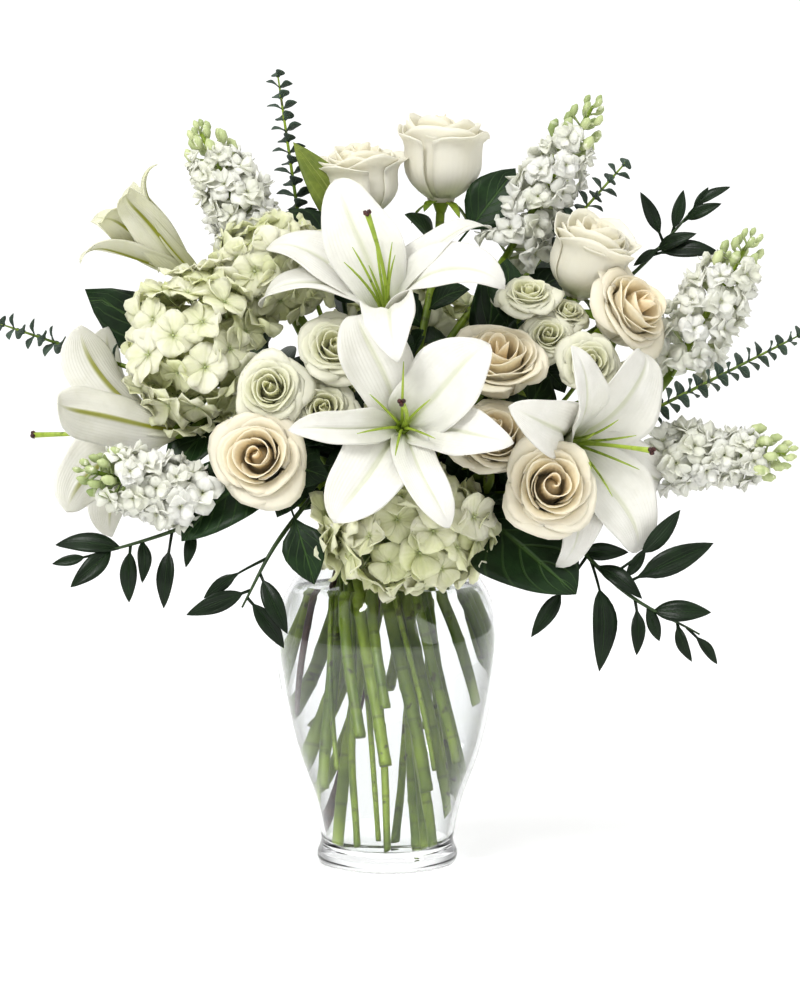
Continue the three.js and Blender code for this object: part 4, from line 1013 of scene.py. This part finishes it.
def rose(bm, bloom, seed, petals, finish):
    placed = frame_at(bloom["at"], bloom["aim"], seed * ROSE_TURN)
    radius, height = bloom["radius"], bloom["height"]
    heart = [placed @ Vector((0, 0, height * s)) for s in (0.02, 0.14, 0.5, 0.74)]
    radii = [radius * 0.3, radius * 0.42, radius * 0.2, radius * 0.05]
    tube(bm, heart, radii, 12, tint=(0.0, 0.5), finish=finish)
    for k in range(petals):
        layer = (k / (petals - 1)) ** 0.8
        rose_petal(bm, placed, bloom, layer, k * GOLDEN_ANGLE + 14 * wobble(k, seed), k + seed * 31, finish)


def calyx(bm, bloom, seed, size, finish):
    """The swollen top of a rose's stem and its five sepals."""
    placed = frame_at(bloom["at"], bloom["aim"], seed * ROSE_TURN)
    cup = [placed @ Vector((0, 0, z * size)) for z in (-9, -5, 0, 4, 7)]
    tube(bm, cup, [r * size for r in (2.9, 4.6, 6.4, 7.4, 6)], 12, finish=finish)
    for k in range(5):
        theta = math.radians(72 * k + 20)
        flat = Vector((math.cos(theta), math.sin(theta), 0))
        root = placed @ (flat * 5 * size + Vector((0, 0, 3 * size)))
        drop = -6 + 12 * wobble(k, seed)
        tip = placed @ (flat * 24 * size + Vector((0, 0, drop * size)))
        face = placed.to_3x3() @ Vector((0, 0, 1))
        width, blade = 8 * size, 24 * size
        leaf(bm, root, tip, face, width, blade, 8, 4, finish, 0, k + seed, SMALL_LEAF_THICKNESS)


# ---- Florets ----
FLORET_SHAPES = 6  # of each kind, dealt out in turn
# A head's florets stand in two layers: (how many, share of the way out, size). The inner layer gets the
# deeper, greener colour as painted shade.
HEAD_LAYERS = [(20, 0.7, 16), (46, 0.91, 17.5)]
FLORETS_OF_SPIKE = 26
STALKS_OF_SPIKE = 22
BUDS_OF_SPIKE = 17
EUCALYPTUS_STEP = 8.5  # from one pair of leaves to the next


def floret_petal(bm, angle, length, width, rise, cup, ripple, seed, rows):
    """A broad petal that leans out from the middle of a floret of size 1."""
    turn = Matrix.Rotation(math.radians(angle), 4, "Z")

    def place(t, u):
        w = width * (0.16 + 0.84 * math.sin(math.pi / 2 * min(1, t / 0.62)))
        w *= 1 - 0.3 * clamp((t - 0.62) / 0.38) ** 2
        out = 0.06 + length * t * (1 - 0.24 * u * u)
        wave = ripple * t * math.sin(3.3 * u + 2.7 * seed) * (0.4 + abs(u))
        z = rise * t**1.3 - cup * t * t + 0.24 * w * u * u + wave
        return turn @ Vector((out, u * w, z))

    sheet(bm, place, rows, 4, 0.035)


def hydrangea_floret(seed):
    def build(bm):
        for k in range(4):
            angle = 90 * k + 10 * wobble(k, seed)
            length = 1.0 + 0.1 * wobble(k + 4, seed)
            cup = 0.22 + 0.14 * wobble(k, seed + 9)
            floret_petal(bm, angle, length, 0.66, 0.3 + 0.05 * (k % 2), cup, 0.22, k + seed, 4)
        tube(bm, [(0, 0, -0.02), (0, 0, 0.06), (0, 0, 0.1)], [0.04, 0.07, 0.03], 5, finish=1)
    return template(build)


def stock_floret(seed):
    def build(bm):
        rings = [(4, 1.0, 0.62, 0.12), (3, 0.66, 0.46, 0.5)]
        for ring, (count, length, width, rise) in enumerate(rings):
            for k in range(count):
                angle = 360 / count * k + 44 * ring + 18 * wobble(k, seed + ring)
                floret_petal(bm, angle, length, width, rise, 0.2, 0.26, k + seed + ring, 3)
    return template(build)


HYDRANGEA_FLORETS = [hydrangea_floret(seed) for seed in range(FLORET_SHAPES)]
STOCK_FLORETS = [stock_floret(seed) for seed in range(FLORET_SHAPES)]


def head_directions(count, aim, reach):
    """Directions spread evenly over a head, away from its stem."""
    turn = frame_at((0, 0, 0), aim)
    found = []
    for i in range(count):
        z = 1 - (i + 0.5) / count * (1 + reach)
        theta = math.radians(i * GOLDEN_ANGLE)
        flat = math.sqrt(1 - z * z)
        found.append(turn @ Vector((flat * math.cos(theta), flat * math.sin(theta), z)))
    return found


def hydrangea(bm, head, seed):
    centre, radii = Vector(head["centre"]), Vector(head["radii"])
    neck = Vector(head["neck"])
    for layer, (count, share, size) in enumerate(HEAD_LAYERS):
        for i, direction in enumerate(head_directions(count, head["aim"], 0.62)):
            chance = wobble(i, seed + 40 * layer)
            reach = Vector((direction.x * radii.x, direction.y * radii.y, direction.z * radii.z))
            at = centre + reach * (share + 0.05 * chance)
            stray = Vector((wobble(i, 3 + seed), wobble(i, 5 + seed), wobble(i, 7 + seed)))
            facing = reach.normalized() + 0.46 * stray
            turn = frame_at(at, facing, 180 * wobble(i, 11 + seed))
            turn = turn @ Matrix.Diagonal((*[size * (1 + 0.14 * wobble(i, 13 + seed))] * 3, 1))
            # Painted shade: florets of the inner layer are pushed to the deep, greener colour, as if shaded
            # inside the head; the chance adds random tone.
            shade = clamp(0.4 - 0.4 * chance + 0.6 * (1 - layer))
            stamp(bm, HYDRANGEA_FLORETS[i % FLORET_SHAPES], turn, (0.5, shade))
            if layer:
                tube(bm, [neck.lerp(at, 0.25), at - facing.normalized()], [1.0, 0.7], 4, finish=1)


def stock(bm, spike, seed):
    base, tip = Vector(spike["base"]), Vector(spike["tip"])
    axis = tip - base
    placed = frame_at(base, axis)
    for i in range(FLORETS_OF_SPIKE):
        share = 0.01 + 0.72 * i / (FLORETS_OF_SPIKE - 1)
        theta = math.radians(i * GOLDEN_ANGLE + seed * 50)
        out = spike["radius"] * (0.72 - 0.3 * share**2) * (1 + 0.14 * wobble(i, seed))
        facing = Vector((math.cos(theta), math.sin(theta), 0.35 + 0.35 * wobble(i, seed + 2)))
        at = placed @ Vector((facing.x * out, facing.y * out, out * 0.3 + axis.length * share))
        turn = frame_at(at, placed.to_3x3() @ facing, 180 * wobble(i, seed + 5))
        size = (15 - 4.5 * share) * (1 + 0.14 * wobble(i, seed + 6))
        turn = turn @ Matrix.Diagonal((size, size, size, 1))
        stamp(bm, STOCK_FLORETS[i % FLORET_SHAPES], turn, (0.5, 0.5 + 0.5 * wobble(i, seed + 8)))


def stock_green(bm, spike, seed, finish):
    """The stem inside a spike, the short stalks of its florets and the buds that stand round its tip."""
    base, tip = Vector(spike["base"]), Vector(spike["tip"])
    axis = tip - base
    placed = frame_at(base, axis)
    run = [base.lerp(tip, s) for s in (0, 0.25, 0.5, 0.75, 0.9, 0.98)]
    tube(bm, run, [3.1, 2.9, 2.6, 2.2, 1.8, 1.2], 8)
    for i in range(STALKS_OF_SPIKE):
        share = 0.02 + 0.72 * i / (STALKS_OF_SPIKE - 1)
        theta = math.radians(i * GOLDEN_ANGLE + seed * 50)
        out = spike["radius"] * (0.62 - 0.3 * share**2)
        root = placed @ Vector((0, 0, axis.length * share - 4))
        up = axis.length * share + out * 0.25
        end = placed @ Vector((math.cos(theta) * out, math.sin(theta) * out, up))
        tube(bm, [root, root.lerp(end, 0.5), end], [1.2, 1.1, 2.2], 6, finish=finish)
    for i in range(BUDS_OF_SPIKE):
        share = 0.7 + 0.3 * i / (BUDS_OF_SPIKE - 1)
        theta = math.radians(i * GOLDEN_ANGLE + seed * 31)
        out = (17.5 - 12.5 * (i / (BUDS_OF_SPIKE - 1)) ** 1.2) * (1 + 0.12 * wobble(i, seed + 3))
        size = 1.3 - 0.6 * i / (BUDS_OF_SPIKE - 1)
        flat = Vector((math.cos(theta), math.sin(theta), 0))
        root = placed @ Vector((0, 0, axis.length * share - 3))
        places = [(out * 0.5, -0.5), (out * 0.85, 1), (out, 4), (out * 1.06, 8), (out * 1.04, 11)]
        foot = axis.length * share
        run = [root] + [placed @ (flat * r + Vector((0, 0, foot + z * size))) for r, z in places]
        radii = [0.8, 0.8, 1.6 * size, 3.3 * size, 3.1 * size, 0.9 * size]
        tube(bm, run, radii, 8, tint=(0.5, 0.5 + 0.5 * wobble(i, seed)), finish=finish)


def eucalyptus_leaves(bm, sprig, seed):
    """Pairs of small leaves, each pair turned a quarter from the last, and each leaf tilted to one side."""
    base, tip = Vector(sprig["base"]), Vector(sprig["tip"])
    axis = tip - base
    placed = frame_at(base, axis, sprig["turn"])
    pairs = round(axis.length / EUCALYPTUS_STEP)
    tube(bm, [base.lerp(tip, s) for s in (0, 0.3, 0.6, 0.85, 1)], [1.6, 1.3, 1.1, 0.9, 0.5])
    for pair in range(pairs):
        size = 15.5 - 6 * (pair / pairs) ** 2
        for side in (0, 180):
            theta = math.radians(pair * 90 + side + 14 * wobble(pair, side))
            out = Vector((math.cos(theta), math.sin(theta), 0))
            height = axis.length * (pair + 0.5) / pairs
            root = placed @ Vector((0, 0, height))
            end = placed @ (out * size + Vector((0, 0, height + 4 + 2 * wobble(pair, side + 1))))
            tilt = 0.5 + 0.2 * wobble(pair, side + 2)
            face = placed.to_3x3() @ Vector((-out.y * tilt, out.x * tilt, 1))
            width, blade = size * 0.72, size * 0.92
            leaf(bm, root, end, face, width, blade, 6, 4, 1, 0, pair * 2 + seed, SMALL_LEAF_THICKNESS)


# ---- Everything in its place ----
WARM_ROSES = (4, 5, 6, 7, 8)  # the creamier ones
BROWN_SALALS = (1, 3)  # the ones with brown stems
# Each kind of stem, and its small leaves, takes its random turns from here on.
STALK_SEEDS = dict(lily=0, rose=10, spray=20, hydrangea=30, stock=40, eucalyptus=50, sprig=60)
LEAF_SEEDS = dict(rose=0, hydrangea=8, spray=20, lily=30)


def begin_plant(name, seed, finish=0, end=1.0):
    """The plant of that name, and a new mesh with its main stem."""
    bm = new_shape()
    stalk(bm, PLANTS[name], seed, finish, end)
    return PLANTS[name], bm


def make_lilies():
    number = 0
    for i in range(len(LILY_STEMS)):
        plant, bm = begin_plant(f"lily_stem_{i + 1}", STALK_SEEDS["lily"] + i, end=0.9)
        for bloom in plant["blooms"]:
            if plant["forked"]:
                branch(bm, plant, bloom, plant["radius"] * 0.85, 10)
            lily_heart(bm, bloom, i)
        stem_leaves(bm, plant, LEAF_SEEDS["lily"] + i, 3)
        piece(f"lily_stem_{i + 1}_green", bm, [STEM, STYLE, STIGMA, ROSE_LEAF], [plant["name"]])
        for bloom in plant["blooms"]:
            number += 1
            bm = new_shape()
            lily(bm, bloom, number)
            petals = {SIDE_LILY: LILY_SIDE, HALF_OPEN_LILY: LILY_BUD}.get(number, LILY_WHITE)
            piece(f"lily_{number}_bloom", bm, [petals, STEM], [f"lily_{number}"])


def make_roses():
    for i, bloom in enumerate(ROSES):
        bm = new_shape()
        rose(bm, bloom, i, PETALS_OF_ROSE, 0)
        petals = ROSE_CREAM if i + 1 in WARM_ROSES else ROSE_IVORY
        piece(f"rose_{i + 1}_bloom", bm, [petals], [f"rose_{i + 1}"])
        plant, bm = begin_plant(f"rose_stem_{i + 1}", STALK_SEEDS["rose"] + i)
        calyx(bm, bloom, i, 1, 0)
        large_leaves(bm, plant)
        stem_leaves(bm, plant, LEAF_SEEDS["rose"] + i, 1)
        piece(f"rose_stem_{i + 1}_green", bm, [STEM, ROSE_LEAF, OLIVE_LEAF], [plant["name"]])


def make_sprays():
    for i, spray in enumerate(SPRAYS):
        plant, bm = begin_plant(f"spray_roses_{i + 1}", STALK_SEEDS["spray"] + i, 1)
        for k, bloom in enumerate(spray["blooms"], i * 3):
            branch(bm, plant, bloom, 1.7, 8, 1)
            full = dict(bloom, height=bloom["radius"] * 1.15, open=0.75)
            rose(bm, full, k, PETALS_OF_SPRAY_ROSE, 0)
            calyx(bm, full, k, 0.6, 1)
        stem_leaves(bm, plant, LEAF_SEEDS["spray"] + i, 2)
        finishes = [ROSE_SPRAY, STEM, ROSE_LEAF]
        piece(f"spray_roses_{i + 1}_blooms", bm, finishes, [plant["name"]])


def make_hydrangeas():
    for i, head in enumerate(HYDRANGEAS):
        bm = new_shape()
        hydrangea(bm, head, i * 5)
        finishes = [HYDRANGEA, BUD_GREEN]
        piece(f"hydrangea_{i + 1}_head", bm, finishes, [f"hydrangea_{i + 1}"])
        plant, bm = begin_plant(f"hydrangea_stem_{i + 1}", STALK_SEEDS["hydrangea"] + i)
        large_leaves(bm, plant)
        stem_leaves(bm, plant, LEAF_SEEDS["hydrangea"] + i, 1)
        piece(f"hydrangea_stem_{i + 1}_green", bm, [STEM, ROSE_LEAF], [plant["name"]])


def make_stocks():
    for i, spike in enumerate(STOCKS):
        bm = new_shape()
        stock(bm, spike, i)
        piece(f"stock_{i + 1}_florets", bm, [STOCK], [f"stock_{i + 1}"])
        plant, bm = begin_plant(f"stock_stem_{i + 1}", STALK_SEEDS["stock"] + i)
        stock_green(bm, spike, i, 1)
        piece(f"stock_stem_{i + 1}_green", bm, [STEM, BUD_GREEN], [plant["name"]])


def make_eucalyptus():
    for i, sprig in enumerate(EUCALYPTUS):
        plant, bm = begin_plant(f"eucalyptus_{i + 1}", STALK_SEEDS["eucalyptus"] + i)
        eucalyptus_leaves(bm, sprig, i)
        piece(f"eucalyptus_{i + 1}_sprig", bm, [STEM, EUCALYPTUS_LEAF], [plant["name"]])


def make_sprigs(kind, sprigs, leaves_of, leaf_look, brown=()):
    """Leafy sprigs of ruscus or salal on their main stems."""
    for i, sprig in enumerate(sprigs):
        plant, bm = begin_plant(f"{kind}_{i + 1}", STALK_SEEDS["sprig"] + i)
        run = smooth_run(sprig["points"], 8)
        radii = [plant["radius"] * (1 - 0.6 * (k / (len(run) - 1)) ** 2) for k in range(len(run))]
        tube(bm, run, radii, finish=2)
        leaves_of(bm, sprig, run, i)
        large_leaves(bm, plant)
        bark = WOODY if i + 1 in brown else STEM
        piece(f"{kind}_{i + 1}_sprig", bm, [bark, leaf_look, DARK_STEM], [plant["name"]])


make_vase()
make_water()
make_lilies()
make_roses()
make_sprays()
make_hydrangeas()
make_stocks()
make_eucalyptus()
make_sprigs("ruscus", RUSCUS, ruscus_leaves, RUSCUS_LEAF)
make_sprigs("salal", SALAL, salal_leaves, SALAL_LEAF, BROWN_SALALS)


# ---- Floor, light and camera ----
BACKDROP = 1.06
OVERHEAD = 1.05
LIT_POINT = (0, 0, 0.32)
EYE = Vector((0.010, -2.3942, 0.4504))
LOOKED_AT = Vector((0.010, 0, 0.283))
LENS = 111.48
SENSOR_WIDTH = 36


def add_light(name, at, size, power):
    lamp = bpy.data.lights.new(name, "AREA")
    lamp.shape = "DISK"
    lamp.size = size
    lamp.energy = power
    made = bpy.data.objects.new(name, lamp)
    made.location = at
    made.rotation_euler = (Vector(LIT_POINT) - Vector(at)).to_track_quat("-Z", "Y").to_euler()
    bpy.context.scene.collection.objects.link(made)


def add_floor():
    bm = bmesh.new()
    bmesh.ops.create_grid(bm, x_segments=1, y_segments=1, size=30)
    mesh = bpy.data.meshes.new("floor")
    bm.to_mesh(mesh)
    bm.free()
    mesh.materials.append(floor_finish())
    floor = bpy.data.objects.new("floor", mesh)
    bpy.context.scene.collection.objects.link(floor)


def add_world():
    """A white studio: brightest overhead, plain white behind and greyer to the front and the sides."""
    world = bpy.data.worlds.new("studio")
    world.use_nodes = True
    tree = world.node_tree
    way = tree.nodes.new("ShaderNodeTexCoord").outputs["Generated"]
    parts = tree.nodes.new("ShaderNodeSeparateXYZ")
    tree.links.new(way, parts.inputs[0])
    shares = []
    rises = (("Y", 0.65, 0.95, 0.42, BACKDROP), ("Z", 0.2, 0.95, 0.0, OVERHEAD))
    for axis, low, high, least, most in rises:
        share = tree.nodes.new("ShaderNodeMapRange")
        share.interpolation_type = "SMOOTHSTEP"
        for name, value in zip(("From Min", "From Max", "To Min", "To Max"), (low, high, least, most)):
            share.inputs[name].default_value = value
        tree.links.new(parts.outputs[axis], share.inputs["Value"])
        shares.append(share.outputs[0])
    total = tree.nodes.new("ShaderNodeMath")
    for share, end in zip(shares, total.inputs):
        tree.links.new(share, end)
    tree.links.new(total.outputs[0], tree.nodes["Background"].inputs["Strength"])
    tree.nodes["Background"].inputs["Color"].default_value = (1, 1, 1, 1)
    bpy.context.scene.world = world


add_floor()
add_world()
add_light("key", (-1.4, -2.0, 2.2), 0.9, 50)
add_light("fill", (1.9, -1.8, 1.0), 1.6, 9)

lens = bpy.data.cameras.new("view")
lens.lens = LENS
lens.sensor_width = SENSOR_WIDTH
camera = bpy.data.objects.new("view", lens)
camera.location = EYE
camera.rotation_euler = (LOOKED_AT - EYE).to_track_quat("-Z", "Y").to_euler()
bpy.context.scene.collection.objects.link(camera)
bpy.context.scene.camera = camera
view = bpy.context.scene.view_settings
view.view_transform = "Standard"
view.gamma = 0.86
view.exposure = 0.07
